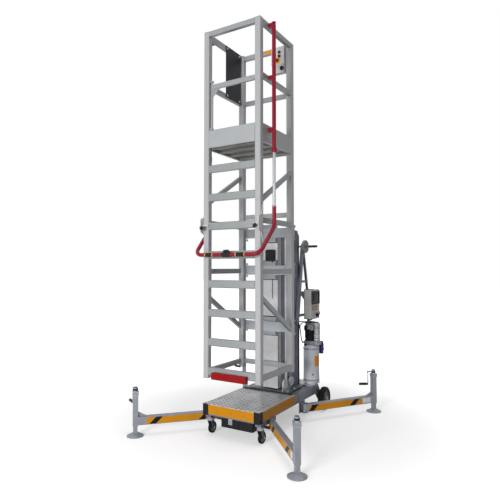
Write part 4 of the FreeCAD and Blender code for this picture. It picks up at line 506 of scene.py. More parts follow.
def finish(name, colour, metallic=0.0, roughness=0.5, grain=60.0, stretch=(1, 1, 1),
           depth=0.12, bump=0.05, wear=0.0, worn=None, grime=0.25, dirt=GREY_DUST, gloss=0.3):
    """A Principled finish over Object coordinates with grain, wear and grime.

    'depth' is how far the grain darkens and lightens the colour, 'bump' how strongly it
    raises the surface, and 'worn' the colour that shows at rubbed edges.
    """
    material = bpy.data.materials.new(name)
    material.use_nodes = True
    tree = material.node_tree
    shader = tree.nodes["Principled BSDF"]
    value = use_group(tree, GRAIN, Scale=grain, Stretch_X=stretch[0], Stretch_Y=stretch[1],
                      Stretch_Z=stretch[2])
    base = mixed(tree, value, shaded(colour, 1 - depth), shaded(colour, 1 + depth))
    if grime:
        soil = use_group(tree, GRIME, Amount=grime)
        base = mixed(tree, soil, base, dirt)
    if wear:
        rubbed = use_group(tree, WEAR, Radius=WEAR_RADIUS, Amount=wear)
        base = mixed(tree, rubbed, base, worn or shaded(colour, 1.35))
    tree.links.new(base, shader.inputs["Base Color"])
    rough = math_node(tree, "MULTIPLY", value, ROUGH_SWING)
    rough = math_node(tree, "ADD", rough, roughness - ROUGH_SWING / 2, clamp=True)
    tree.links.new(rough, shader.inputs["Roughness"])
    shader.inputs["Metallic"].default_value = metallic
    shader.inputs["Specular IOR Level"].default_value = gloss
    if bump:
        raised = tree.nodes.new("ShaderNodeBump")
        raised.inputs["Strength"].default_value = bump
        raised.inputs["Distance"].default_value = BUMP_HEIGHT
        tree.links.new(value, raised.inputs["Height"])
        tree.links.new(raised.outputs[0], shader.inputs["Normal"])
    return material


print("finish: a colour under grain, grime and wear")

# %% [markdown]
# Aluminium is drawn through a die, and the die leaves fine lines along the bar.
# One even noise could serve every bar, but its marks would cross the lines. So
# the grain is squeezed along the way in which each bar was drawn: upright for
# posts, crosswise for rungs, from front to back for side rails.

# %% Aluminium finishes
UPRIGHT = (1.0, 1.0, 0.03)
CROSSWISE = (0.03, 1.0, 1.0)
DEEPWISE = (1.0, 0.03, 1.0)

post_aluminium = finish(
    "post_aluminium", linear(177, 178, 180), metallic=0.12, roughness=0.4, grain=160,
    stretch=UPRIGHT, depth=0.06, wear=0.5, grime=0.12, dirt=(0.36, 0.36, 0.35))
rung_aluminium = finish(
    "rung_aluminium", linear(152, 156, 157), metallic=0.15, roughness=0.42, grain=160,
    stretch=CROSSWISE, depth=0.08, wear=0.6, grime=0.2, dirt=(0.25, 0.25, 0.24))
rail_aluminium = finish(
    "rail_aluminium", linear(160, 163, 165), metallic=0.15, roughness=0.4, grain=160,
    stretch=DEEPWISE, depth=0.07, wear=0.6, grime=0.15, dirt=(0.3, 0.3, 0.29))
floor_aluminium = finish(
    "floor_aluminium", linear(128, 129, 126), metallic=0.2, roughness=0.5, grain=90,
    stretch=CROSSWISE, depth=0.1, grime=0.4)
board_aluminium = finish(
    "board_aluminium", linear(170, 173, 175), metallic=0.15, roughness=0.42, grain=120,
    stretch=CROSSWISE, depth=0.05, wear=0.5, grime=0.12, dirt=(0.3, 0.3, 0.29))
section_aluminium = finish(
    "section_aluminium", linear(104, 107, 120), metallic=0.2, roughness=0.4, grain=180,
    stretch=UPRIGHT, depth=0.1, wear=0.4)
column_aluminium = finish(
    "column_aluminium", linear(216, 216, 217), metallic=0.1, roughness=0.38, grain=180,
    stretch=UPRIGHT, depth=0.06)
print("materials with the aluminium:", len(bpy.data.materials))

# %% [markdown]
# Steel that stands outdoors is dipped in zinc, which sets in cloudy patches. A
# coarse grain with a deep swing of colour gives the clouds, and the three kinds
# differ by how much they are handled. Screws and rods stay bright and shiny.

# %% Zinc and steel finishes
zinc = finish(
    "zinc", linear(148, 153, 162), metallic=0.25, roughness=0.42, grain=26, depth=0.16,
    bump=0.03, wear=0.5, grime=0.3)
plate_zinc = finish(
    "plate_zinc", linear(166, 171, 175), metallic=0.2, roughness=0.42, grain=26, depth=0.12,
    bump=0.03, wear=0.5, grime=0.2)
dark_zinc = finish(
    "dark_zinc", linear(112, 117, 126), metallic=0.25, roughness=0.45, grain=26, depth=0.18,
    bump=0.03, wear=0.6, grime=0.4)
bright_steel = finish(
    "bright_steel", linear(172, 176, 181), metallic=0.6, roughness=0.3, grain=220,
    stretch=UPRIGHT, depth=0.05, bump=0.02, grime=0.08)
print("materials with the steel:", len(bpy.data.materials))

# %% [markdown]
# Paint is even in colour, rubs pale at its edges and takes a little dirt in
# patches. Black parts would vanish in the shade, so their worn colour is grey:
# partly rubbed wear, partly a painted highlight along their edges. Their gloss is
# kept low, because a shiny black mirrors the white room.

# %% Paints
deep_red = finish(
    "deep_red", linear(142, 16, 40), roughness=0.36, grain=40, depth=0.07, bump=0.02,
    wear=0.4, worn=linear(170, 70, 78), grime=0.05, gloss=0.2)
bright_red = finish(
    "bright_red", linear(150, 2, 12), roughness=0.45, grain=40, depth=0.06, bump=0.03,
    wear=0.5, worn=linear(200, 84, 78), grime=0.04, gloss=0.15)
band_yellow = finish(
    "band_yellow", linear(208, 138, 22), roughness=0.38, grain=30, depth=0.05, bump=0.02,
    wear=0.7, worn=linear(190, 170, 130), grime=0.15, dirt=linear(150, 104, 40), gloss=0.1)
# The black sheet's grey worn colour is partly wear, partly a painted highlight along its edges.
black_sheet = finish(
    "black_sheet", linear(22, 23, 32), roughness=0.42, grain=90, bump=0.03, wear=0.8,
    worn=linear(80, 82, 88), grime=0.06, dirt=linear(44, 44, 48), gloss=0.15)
dark_paint = finish(
    "dark_paint", linear(120, 125, 140), metallic=0.1, roughness=0.45, wear=0.8,
    worn=linear(140, 142, 146), grime=0.35)
fork_paint = finish(
    "fork_paint", linear(58, 62, 78), metallic=0.1, roughness=0.4, depth=0.1, bump=0.03,
    wear=0.8, worn=linear(130, 134, 142), grime=0.25)
light_grey = finish(
    "light_grey", linear(204, 205, 201), roughness=0.42, grain=200, depth=0.05, bump=0.06,
    wear=0.4, worn=linear(214, 216, 216), grime=0.08, dirt=linear(120, 118, 112))
tank_white = finish(
    "tank_white", linear(216, 220, 228), roughness=0.33, grain=24, depth=0.04, bump=0.02,
    wear=0.4, grime=0.14, dirt=linear(120, 116, 108))
print("materials with the paints:", len(bpy.data.materials))

# %% [markdown]
# Mouldings are plastic or rubber. Their surface is a fine pebble from the mould,
# so the grain is small and its bump strong, most of all on tyres.

# %% Plastics and rubbers
# The grey worn colours of the black mouldings and tyres are partly wear, partly a painted
# highlight along their edges.
black_moulding = finish(
    "black_moulding", linear(24, 25, 29), grain=220, depth=0.2, bump=0.12, wear=0.5,
    worn=linear(90, 92, 96), grime=0.2, dirt=linear(60, 58, 54), gloss=0.15)
display_glass = finish(
    "display_glass", linear(22, 23, 23), roughness=0.25, grain=30, depth=0.1, bump=0.0,
    grime=0.04, dirt=linear(60, 60, 62), gloss=0.05)
tyre_rubber = finish(
    "tyre_rubber", linear(18, 18, 20), roughness=0.6, grain=120, depth=0.18, bump=0.15,
    wear=0.4, worn=linear(56, 55, 54), grime=0.15, dirt=linear(60, 58, 54), gloss=0.08)
hose_rubber = finish(
    "hose_rubber", linear(30, 31, 34), roughness=0.48, grain=300, depth=0.15, bump=0.08,
    grime=0.15, dirt=linear(70, 68, 64))
wheel_grey = finish(
    "wheel_grey", linear(142, 146, 148), metallic=0.05, depth=0.06, wear=0.4, grime=0.3)
nylon_white = finish(
    "nylon_white", linear(222, 224, 230), roughness=0.4, grain=80, depth=0.04, bump=0.02,
    grime=0.2)
coupler_blue = finish(
    "coupler_blue", linear(34, 37, 116), roughness=0.35, grain=90, depth=0.08, bump=0.03,
    wear=0.3, grime=0.1)
print("materials with the mouldings:", len(bpy.data.materials))

# %% [markdown]
# Blank plates, labels and coloured bands are thin film stuck on flat metal: even
# in colour and nearly clean. Little grain and no worn edge keep them so.

# %% Films and blank plates
plain_yellow = finish(
    "plain_yellow", linear(236, 186, 40), roughness=0.4, depth=0.04, bump=0.02, grime=0.08)
plain_orange = finish(
    "plain_orange", linear(226, 148, 36), roughness=0.42, depth=0.05, bump=0.02, grime=0.15)
plain_brown = finish(
    "plain_brown", linear(176, 146, 112), depth=0.05, bump=0.02, grime=0.15)
plain_white = finish(
    "plain_white", linear(238, 238, 240), roughness=0.45, depth=0.03, bump=0.02, grime=0.2)
print("materials with the films:", len(bpy.data.materials))

# %% [markdown]
# The tread plate of the deck is the same aluminium under boots and pallets: a
# noise drawn out crosswise scratches it bright. It is laid over the usual grain
# and grime by taking over the link into the shader's colour, so the scratches
# need no second material. Its raised lenses are painted dark all over, a painted
# shade for their sloping sides, and wear rubs them bright at the edges.

# %% Tread plate finish
SCRATCH_FROM = 0.56
SCRATCH_SHARP = 3.0


def tread_finish():
    """Aluminium with bright scratches: (noise - start) * sharpness as a mask over the finish."""
    material = finish(
        "tread_plate", linear(200, 201, 203), metallic=0.3, roughness=0.36, grain=14,
        depth=0.14, bump=0.02, grime=0.3, dirt=(0.2, 0.2, 0.205))
    tree = material.node_tree
    shader = tree.nodes["Principled BSDF"]
    before = shader.inputs["Base Color"].links[0].from_socket
    scratch = use_group(tree, GRAIN, Scale=220.0, Stretch_X=0.08, Stretch_Y=1.0, Stretch_Z=1.0)
    mask = math_node(tree, "SUBTRACT", scratch, SCRATCH_FROM, clamp=True)
    mask = math_node(tree, "MULTIPLY", mask, SCRATCH_SHARP, clamp=True)
    scratched = mixed(tree, mask, before, linear(214, 216, 218))
    tree.links.new(scratched, shader.inputs["Base Color"])
    return material


tread_plate = tread_finish()
# The lenses' dark grey is a painted shade for their sloping sides; only the bright rubbed edges
# are wear.
shaded_tread_lens = finish(
    "shaded_tread_lens", linear(70, 72, 80), metallic=0.4, roughness=0.34, depth=0.2, bump=0.02,
    wear=0.8, worn=linear(196, 198, 200), grime=0.4, dirt=(0.08, 0.08, 0.085))
print("all finishes of the frame:", len(bpy.data.materials))

# %% [markdown]
# The frame's own nodes keep their meshes and only get a finish. Each node has a
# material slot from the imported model, and putting the finish into that slot
# leaves the node's shape and its place among the joints alone. A dictionary from
# node to finish keeps the whole choice in one view.

# %% Dress the frame's own nodes
CORNERS = ("front_left", "front_right", "rear_left", "rear_right")

DRESS = {
    "cage_posts": post_aluminium, "rungs": rung_aluminium, "cage_rails": rail_aluminium,
    "cage_braces": rail_aluminium, "saddles": plate_zinc, "splices": column_aluminium,
    "bumper": bright_red, "basket_floor": floor_aluminium, "toe_boards": board_aluminium,
    "side_panel": black_sheet, "sensor_box": black_moulding, "console": light_grey,
    "guard_sleeves": deep_red, "gate_hinges": rail_aluminium, "gate": rail_aluminium,
    "front_column": column_aluminium, "guard_bar": deep_red, "guard_rods": bright_steel,
    "mast_section_3": section_aluminium, "mast_section_2": section_aluminium,
    "mast_column": section_aluminium, "cable_duct": black_moulding, "mast_foot": dark_zinc,
    "foot_sheaves": plate_zinc, "side_beams": dark_zinc, "cross_beams": dark_zinc,
    "deck_plates": tread_plate, "corner_guards": black_moulding, "edge_bands": band_yellow,
    "equipment_case": black_moulding, "chassis_brackets": dark_zinc,
    "fixed_pins": bright_steel, "oil_tank": tank_white, "pump_unit": black_moulding,
    "oil_filter": nylon_white, "control_cabinet": light_grey, "power_inlet": coupler_blue,
    "push_frame": dark_paint, "hydraulic_hoses": hose_rubber, "deck_cable": hose_rubber,
}
for hand, _ in SIDES:
    DRESS[f"castor_fork_{hand}"] = fork_paint
    DRESS[f"castor_wheel_{hand}"] = tyre_rubber
    DRESS[f"rear_tyre_{hand}"] = tyre_rubber
    DRESS[f"rear_hub_{hand}"] = wheel_grey
    DRESS[f"loading_wheel_{hand}"] = wheel_grey
for corner in CORNERS:
    DRESS[f"outrigger_{corner}"] = zinc
    DRESS[f"jack_leg_{corner}"] = zinc
for label, material in DRESS.items():
    for socket in NODES[label].material_slots:
        socket.material = material
print("undressed nodes:", sorted(set(NODES) - set(DRESS)))

# %% [markdown]
# The camera stands where the photographer stood: in front of the machine and to
# its right, at chest height, looking very slightly up. The place and the lens
# were fitted together, because a near camera with a short lens and a far one
# with a long lens frame the same height but slant the rails differently.

# %% Camera
CAMERA_AT = (2.505, -4.376, 1.62)
CAMERA_YAW = 31.43
CAMERA_PITCH = 2.08
LENS = 34.36
SENSOR = 36

camera_data = bpy.data.cameras.new("camera")
camera_data.lens = LENS
camera_data.sensor_width = SENSOR
camera = bpy.data.objects.new("camera", camera_data)
camera.location = CAMERA_AT
camera.rotation_euler = (np.radians(90 + CAMERA_PITCH), 0, np.radians(CAMERA_YAW))
bpy.context.scene.collection.objects.link(camera)
bpy.context.scene.camera = camera
print("camera at", CAMERA_AT, "with a lens of", LENS, "mm")

# %% [markdown]
# A studio picture on white: one soft lamp stands far in front, so that top and
# bottom get as much light. A weaker one overhead opens the deck, and the room
# fills in the rest. Spot lamps would be cheaper, but their hard shadows would
# cut the ladder into stripes.

# %% Lamps and room
ROOM_GREY = (0.25, 0.25, 0.26)
WHITE = (1, 1, 1)
BLACK = (0, 0, 0)


def area_lamp(name, at, target, size, power):
    """A square soft lamp that looks at a target."""
    data = bpy.data.lights.new(name, "AREA")
    data.size = size
    data.energy = power
    lamp = bpy.data.objects.new(name, data)
    lamp.location = at
    lamp.visible_camera = False
    way = np.array(target, float) - np.array(at, float)
    flat = np.hypot(way[0], way[1])
    lamp.rotation_euler = (np.arctan2(flat, -way[2]), 0, np.arctan2(way[0], -way[1]) + np.pi)
    bpy.context.scene.collection.objects.link(lamp)
    print(f"{name}: {power} W over {size} m")


area_lamp("key", (0.4, -7.8, 1.9), (0.0, -0.3, 1.7), 2.4, 440)
area_lamp("overhead", (0.3, -0.5, 8.0), (0, 0, 0), 4.0, 150)

world = bpy.data.worlds.new("room")
world.use_nodes = True
bpy.context.scene.world = world
sky = world.node_tree.nodes["Background"]
rays = world.node_tree.nodes.new("ShaderNodeLightPath")
seen = math_node(
    world.node_tree, "MAXIMUM", rays.outputs["Is Camera Ray"], rays.outputs["Is Glossy Ray"])
seen = math_node(world.node_tree, "MAXIMUM", seen, rays.outputs["Is Transmission Ray"])
world.node_tree.links.new(mixed(world.node_tree, seen, ROOM_GREY, WHITE), sky.inputs["Color"])

# %% [markdown]
# The floor shows white to the camera, yet keeps the soft shadow, because only
# part of its light is its own: less of it near the machine, where the shadow
# falls, and all of it far out. To light that bounces off it the floor is grey,
# so the undersides of deck and arms stay dark.

# %% Studio floor
FLOOR_HALF = 40.0
NEAR_FLOOR = 1.2
FAR_FLOOR = 3.2
NEAR_WHITE = 0.42
BOUNCE_GREY = (0.3, 0.3, 0.3)
SEEN_GREY = (0.85, 0.85, 0.85)


def floor_finish():
    """A matt floor that adds its own white for the camera, more of it far out.

    Own white = near share + (far share - near share) * smooth step of the distance.
    """
    material = bpy.data.materials.new("studio_floor")
    material.use_nodes = True
    tree = material.node_tree
    shader = tree.nodes["Principled BSDF"]
    shader.inputs["Roughness"].default_value = 1.0
    shader.inputs["Specular IOR Level"].default_value = 0.0
    path = tree.nodes.new("ShaderNodeLightPath")
    shown = math_node(
        tree, "MAXIMUM", path.outputs["Is Camera Ray"], path.outputs["Is Glossy Ray"])
    colour = mixed(tree, shown, BOUNCE_GREY, SEEN_GREY)
    tree.links.new(colour, shader.inputs["Base Color"])
    place = tree.nodes.new("ShaderNodeTexCoord")
    distance = tree.nodes.new("ShaderNodeVectorMath")
    distance.operation = "LENGTH"
    tree.links.new(place.outputs["Object"], distance.inputs[0])
    fade = tree.nodes.new("ShaderNodeMapRange")
    fade.interpolation_type = "SMOOTHSTEP"
    fade.inputs["From Min"].default_value = NEAR_FLOOR
    fade.inputs["From Max"].default_value = FAR_FLOOR
    fade.inputs["To Min"].default_value = NEAR_WHITE
    fade.inputs["To Max"].default_value = 1.0
    tree.links.new(distance.outputs["Value"], fade.inputs["Value"])
    white = mixed(tree, fade.outputs[0], BLACK, WHITE)
    tree.links.new(mixed(tree, shown, BLACK, white), shader.inputs["Emission Color"])
    shader.inputs["Emission Strength"].default_value = 1.0
    return material


def studio_floor():
    """A flat grid of two by two points."""
    side = np.array([-FLOOR_HALF, FLOOR_HALF])
    points = np.stack(np.meshgrid(side, side, [0.0], indexing="ij"), axis=-1).reshape(2, 2, 3)
    corners, quads = grid(points, around=False)
    mesh = bpy.data.meshes.new("floor")
    mesh.from_pydata(corners.tolist(), [], quads[:, ::-1].tolist())
    mesh.materials.append(floor_finish())
    thing = bpy.data.objects.new("floor", mesh)
    bpy.context.scene.collection.objects.link(thing)


studio_floor()
bpy.context.scene.view_settings.view_transform = "Standard"
print("floor:", 2 * FLOOR_HALF, "m wide, white from", FAR_FLOOR, "m out")

# %% [markdown]
# The deck's tread is a pattern of raised lenses, each turned a quarter from its
# neighbours. A bump map would look flat from the side and be lost in a printed
# copy, so each lens is real: a ring whose half width falls to nothing at both
# ends, half sunk in the plate. Two turned copies are repeated as arrays.

# %% Tread of the deck
LENS_LONG = 0.034
LENS_WIDE = 0.013
LENS_TALL = 0.0022
TREAD_PITCH = 0.050
DECK_EDGE = 0.014
FOOT_MARGIN = 0.05
SHELF_MARGIN = 0.02
SHELF_END = 0.12


def lens(turn):
    """Half width = w (1 - s^2) for s from -1 to 1, as a flat ellipse at each s, then turned."""
    s = np.linspace(-1, 1, 7)
    angle = np.linspace(0, 2 * np.pi, 8, endpoint=False)
    swell = (1 - s**2)[:, None]
    along = np.repeat(s[:, None] * LENS_LONG / 2, len(angle), axis=1)
    across = swell * np.cos(angle) * LENS_WIDE / 2
    height = swell * np.sin(angle) * LENS_TALL
    cos, sin = np.cos(turn), np.sin(turn)
    return grid(np.stack([along * cos - across * sin, along * sin + across * cos, height], -1))


def tread_over(low, high, level):
    """Two interleaved square lattices of lenses, one for each way they point."""
    x = np.arange(low[0] + DECK_EDGE, high[0] - DECK_EDGE, TREAD_PITCH)
    y = np.arange(low[1] + DECK_EDGE, high[1] - DECK_EDGE, TREAD_PITCH)
    column, row = np.meshgrid(np.arange(len(x)), np.arange(len(y)), indexing="ij")
    places = np.stack([x[column], y[row], np.full(column.shape, level)], axis=-1)
    even = (column + row) % 2 == 0
    return [copies(lens(np.pi / 4), places[even]), copies(lens(-np.pi / 4), places[~even])]


deck_low, deck_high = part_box("deck_plates")
foot_low, foot_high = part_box("mast_foot")
DECK_TOP = deck_high[2]
front_tread = tread_over(deck_low, (deck_high[0], foot_low[1] - FOOT_MARGIN), DECK_TOP)
shelf_tread = tread_over(
    (deck_low[0], foot_high[1] + SHELF_MARGIN), (SHELF_END, deck_high[1]), DECK_TOP)
piece("deck_tread", "chassis", joined(front_tread + shelf_tread), shaded_tread_lens)

# %% [markdown]
# The rungs carry fine ribs, so that a boot doesn't slip. The frame has the plain
# rungs, and a rib is a slim block with fully rounded edges, laid across the
# front face of each. Forty copies of one block stay a single mesh.

# %% Ribs of the rungs
RUNG_COUNT = 8
RUNG_PITCH = 0.280
RUNG_TALL = 0.075
RIBS_PER_RUNG = 5
RIB_TALL = 0.0045
RIB_PROUD = 0.0016
RIB_INSET = 0.016
RIB_END = 0.004

rungs_low, rungs_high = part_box("rungs")
rung_levels = rungs_low[2] + RUNG_PITCH * np.arange(RUNG_COUNT)
rib_steps = np.linspace(RIB_INSET, RUNG_TALL - RIB_INSET, RIBS_PER_RUNG)
rib = block((rungs_low[0] + RIB_END, -RIB_PROUD, -RIB_TALL / 2),
            (rungs_high[0] - RIB_END, RIB_PROUD, RIB_TALL / 2),
            RIB_PROUD * 0.9, arcs=2, axis=0)
rib_places = [(0, rungs_low[1], level + step) for level in rung_levels for step in rib_steps]
piece("rung_ribs", "cage", copies(rib, rib_places), rung_aluminium)

# %% [markdown]
# Blind rivets hold rails and rungs to the posts. Each is a low dome, set on the
# face that shows. Their places come from the boxes of the frame's own nodes and
# from the heights of the rails, so they stay with the posts.

# %% Rivets of the cage
POST = 0.060
RIVET_PAIR = (-0.012, 0.012)
SPLICE_MARGIN = 0.05
SIDE_RAILS = (0.607, 1.580, 2.057, 2.875, 3.419, 3.928)
BACK_RAILS = (0.607, 2.165, 2.875, 3.419, 3.928)

rivet = knob(0.006, 0.0025, 0.9, 12)
cage_low, cage_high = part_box("cage_posts")
splice_low, splice_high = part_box("splices")
POST_YS = (cage_low[1] + POST / 2, cage_high[1] - POST / 2)
front_levels = (splice_low[2] - SPLICE_MARGIN, splice_high[2] + SPLICE_MARGIN)
rivets = []
for sign in SIGNS:
    middle = sign * (cage_high[0] - POST / 2)
    rivets.append(copies(turned_to(rivet, FRONT), [
        (middle + shift, cage_low[1], level) for level in front_levels for shift in RIVET_PAIR]))
    rivets.append(copies(turned_to(rivet, (sign, 0, 0)), [
        (sign * cage_high[0], y, level) for level in SIDE_RAILS for y in POST_YS]))
    rivets.append(copies(turned_to(rivet, BACK), [
        (middle, cage_high[1], level) for level in BACK_RAILS]))
piece("cage_rivets", "cage", joined(rivets), bright_steel)

# %% [markdown]
# The posts are tubes, closed at both ends by plastic plugs. Only the rim of a
# plug shows, so a thin rounded block stands for the whole of it.

# %% Post plugs
PLUG_TALL = 0.004
PLUG_SUNK = 0.001
PLUG_HALF = POST / 2 - 0.001

plugs = []
for level, sense in ((cage_high[2], 1), (cage_low[2], -1)):
    z = sorted((level - sense * PLUG_SUNK, level + sense * PLUG_TALL))
    plug = block((-PLUG_HALF, -PLUG_HALF, z[0]), (PLUG_HALF, PLUG_HALF, z[1]), 0.003)
    plugs.append(copies(plug, [
        (sign * (cage_high[0] - POST / 2), y, 0) for sign in SIGNS for y in POST_YS]))
piece("post_plugs", "cage", joined(plugs), black_moulding)

# %% [markdown]
# Yellow and black tape runs along both sides of every outrigger arm. It is
# worked out in the arm's own directions, from the pivot towards the foot. Where
# tape, bands and labels start and end are shares of the arm's length, one set
# for the front arms and one for the rear, and left and right are mirrored.

# %% Sizes of the tape
ARM_HALF = 0.025
ARM_LOW, ARM_HIGH = 0.105, 0.185
TAPE_LOW, TAPE_HIGH = ARM_LOW + 0.006, ARM_HIGH - 0.012
LABEL_LOW, LABEL_HIGH = ARM_LOW + 0.012, ARM_HIGH - 0.014
TAPE_THICK = 0.0008
TAPE_STATIONS = 25
TAPE_LEAN = 0.065
TAPE_SPAN = {"front": (0.045, 0.875), "rear": (0.045, 0.80)}
BANDS = {"front": ((0.145, 0.225), (0.725, 0.805)), "rear": ((0.06, 0.14), (0.65, 0.73))}
LABELS = {"front_right": (0.885, 0.95), "rear_right": (0.81, 0.93), "rear_left": (0.81, 0.93)}
PIVOTS = {"front": (0.300, -0.375), "rear": (0.352, 0.255)}
FOOT = (0.860, 0.985)


def arm_frame(corner):
    """Pivot, unit way to the foot, unit side and length of an arm."""
    end, hand = corner.split("_")
    signs = np.array([1 if hand == "right" else -1, 1 if end == "rear" else -1])
    pivot = np.array([PIVOTS[end][0] * signs[0], PIVOTS[end][1]])
    foot = np.array(FOOT) * signs
    length = np.linalg.norm(foot - pivot)
    way = (foot - pivot) / length
    return pivot, way, np.array([-way[1], way[0]]), length


for corner in CORNERS:
    print(corner, "arm is", round(float(arm_frame(corner)[3]), 3), "m long")

# %% [markdown]
# The black bands could be blocks laid on the yellow, but they would stand proud
# of it. Instead each point of the tape keeps its share of the arm as an
# attribute, and the finish asks whether that value lies inside a band. The edge
# is sharp at any size, and the value is kept with the mesh.

# %% Tape finish


def band_mask(tree, value, bands):
    """One inside any of the bands of a value, zero outside."""
    total = None
    for start, end in bands:
        inside = math_node(tree, "MULTIPLY", math_node(tree, "GREATER_THAN", value, start),
                           math_node(tree, "LESS_THAN", value, end))
        total = inside if total is None else math_node(tree, "MAXIMUM", total, inside)
    return total


def striped_finish(name, bands, base, dark):
    """A taped finish: the dark colour inside the bands of the attribute 'tape_run'."""
    material = finish(name, base, roughness=0.4, grain=40, depth=0.04, bump=0.02, grime=0.25,
                      dirt=linear(150, 104, 40), gloss=0.1)
    tree = material.node_tree
    shader = tree.nodes["Principled BSDF"]
    before = shader.inputs["Base Color"].links[0].from_socket
    stored = tree.nodes.new("ShaderNodeAttribute")
    stored.attribute_name = "tape_run"
    mask = band_mask(tree, stored.outputs["Fac"], bands)
    tree.links.new(mixed(tree, mask, before, dark), shader.inputs["Base Color"])
    return material


arm_tape = {end: striped_finish(f"{end}_tape", BANDS[end], linear(216, 146, 28),
                                linear(24, 25, 30)) for end in BANDS}
print("tape finishes:", sorted(arm_tape))

# %% [markdown]
# The tape itself is a thin closed sheet beside the arm. Its stations lean, each
# with its top to the right of one who faces it, and the bands lean with them,
# because a band is a range of stations. Merging doubled points can renumber them,
# so the attribute is written last, from the nearest point of the shape.

# %% Tape on the arms
LEAN_IN, LEAN_OUT = 0.03, 0.05


def tape_points(corner, hand, start, end, low, high, lean):
    """Points of a thin sheet beside the arm: pivot + way * s + side * offset.

    Between its two straight ends the stations lean, their top to the right of one who
    faces the sheet, and so do the stripes, which are bands of s.
    """
    pivot, way, side, length = arm_frame(corner)
    s = np.linspace(start, end, TAPE_STATIONS)[:, None, None]
    z = np.linspace(0, 1, 4)[None, :, None]
    offset = np.array([ARM_HALF, ARM_HALF + TAPE_THICK])[None, None, :]
    slanted = np.clip(np.minimum((s - start) / LEAN_IN, (end - s) / LEAN_OUT), 0, 1)
    run = s * length - hand * (z - 0.5) * lean * slanted * np.ones_like(offset)
    run = np.clip(run, 0, None)
    flat = pivot + run[..., None] * way + hand * (offset + 0 * run)[..., None] * side
    height = low + (high - low) * z + 0 * run
    return np.concatenate([flat, height[..., None]], axis=-1), (s + 0 * run)


def tape_shape(corner, hand, start, end, low, high, lean=TAPE_LEAN):
    """A closed thin sheet: each station's ring goes up the outside and down the inside."""
    points, run = tape_points(corner, hand, start, end, low, high, lean)
    ring = np.concatenate([points[:, :, 1], points[:, ::-1, 0]], axis=1)
    value = np.concatenate([run[:, :, 1], run[:, ::-1, 0]], axis=1)
    first = np.repeat(value[:1].mean(axis=1, keepdims=True), value.shape[1], axis=1)
    last = np.repeat(value[-1:].mean(axis=1, keepdims=True), value.shape[1], axis=1)
    return capped(ring), np.concatenate([first, value, last]).ravel()


def taped(name, body, shapes, values, material):
    """A piece whose points keep a value for the stripes, written once doubles are merged."""
    thing = piece(name, body, joined(shapes), material)
    points = joined(shapes)[0]
    kept = np.empty(len(thing.data.vertices) * 3)
    thing.data.vertices.foreach_get("co", kept)
    apart = ((points[None] - kept.reshape(-1, 1, 3)) ** 2).sum(axis=-1)
    store = thing.data.attributes.new("tape_run", "FLOAT", "POINT")
    nearest = np.concatenate(values)[apart.argmin(axis=1)]
    store.data.foreach_set("value", nearest.astype(np.float32))


for corner in CORNERS:
    end, body = corner.split("_")[0], f"outrigger_{corner}"
    tapes = [tape_shape(corner, hand, *TAPE_SPAN[end], TAPE_LOW, TAPE_HIGH) for hand in SIGNS]
    taped(f"arm_tape_{corner}", body, [shape for shape, run in tapes],
          [run for shape, run in tapes], arm_tape[end])
    if corner in LABELS:
        labels = [tape_shape(corner, hand, *LABELS[corner], LABEL_LOW, LABEL_HIGH, lean=0.0)[0]
                  for hand in SIGNS]
        piece(f"arm_label_{corner}", body, joined(labels), plain_white)

# %% [markdown]
# Each jack is a square tube with a cap and a screw head on top, a crank at its
# side and a round foot below. The cap, the seal under it and the crank's rubber
# grip are turned from profiles. The tube's two collars are square, which a lathe
# of four steps gives: its flats lie half way between its corners.

# %% Profiles of the jacks
JACK_TOP = 0.465
COLLAR_LOW, COLLAR_TOP = 0.385, 0.425
COLLAR_TALL = 0.006
SEAL_LIFT = 0.009
CRANK_WAYS = {"front_left": 154, "front_right": 116, "rear_left": 172, "rear_right": 212}
CRANK_LEVEL = JACK_TOP - 0.020
CRANK_DROP = 0.137
CRANK_OUT = 0.066

cap_top = lathe([
    [0, -0.001], [0.0170, -0.001], [0.0172, 0.002], [0.0150, 0.004], [0, 0.0045]], 20)
screw_top = lathe([[0, 0], [0.006, 0], [0.006, 0.003], [0.0045, 0.005], [0, 0.005]], 12)
head_ring = lathe([
    [0.0215, 0.0], [0.0245, 0.0], [0.0245, 0.006], [0.0228, 0.008], [0.0215, 0.008]], 24)
seal_ring = lathe([
    [0.0195, 0.0], [0.0232, 0.0], [0.0238, 0.002], [0.0238, 0.016], [0.0228, 0.019],
    [0.0195, 0.019]], 24)
square_ring = lathe([
    [0.0350, 0], [0.0400, 0], [0.0421, 0.0015], [0.0421, 0.0045], [0.0400, 0.006],
    [0.0350, 0.006]], 4)
crank_grip = turned_to(lathe([
    [0, 0], [0.011, 0], [0.0145, 0.004], [0.0138, 0.02], [0.0146, 0.045], [0.0138, 0.07],
    [0.0145, 0.092], [0.0118, 0.097], [0, 0.097]], 16),
    SIDEWAYS, (CRANK_OUT, 0, CRANK_LEVEL - CRANK_DROP))
crank_nut = turned_to(hexagon(0.009, 0.007), SIDEWAYS, (CRANK_OUT, 0, CRANK_LEVEL))
print("collars from", COLLAR_LOW, "to", COLLAR_TOP, "m above the floor")

# %% [markdown]
# The foot's fins are blocks whose top is cut by a slope, so they are high at the
# leg and low at the rim. Collars and fins are turned with the arm, which keeps
# the square collars on the square tube at every corner of the machine. A crank
# points where it was left, so each has an angle of its own.

# %% Jacks
FOOT_RIBS = 8
RIB_IN, RIB_OUT = 0.026, 0.074
RIB_HIGH, RIB_FALL = 0.036, 0.024


def foot_rib():
    """A slim fin from the leg down to the rim: a block whose top slopes outwards."""
    points, quads = block((RIB_IN, -0.003, 0.004), (RIB_OUT, 0.003, RIB_HIGH), 0.0015, arcs=2)
    points = points.copy()
    fall = (points[:, 0] - RIB_IN) / (RIB_OUT - RIB_IN)
    points[:, 2] = np.minimum(points[:, 2], RIB_HIGH - RIB_FALL * fall)
    return points, quads


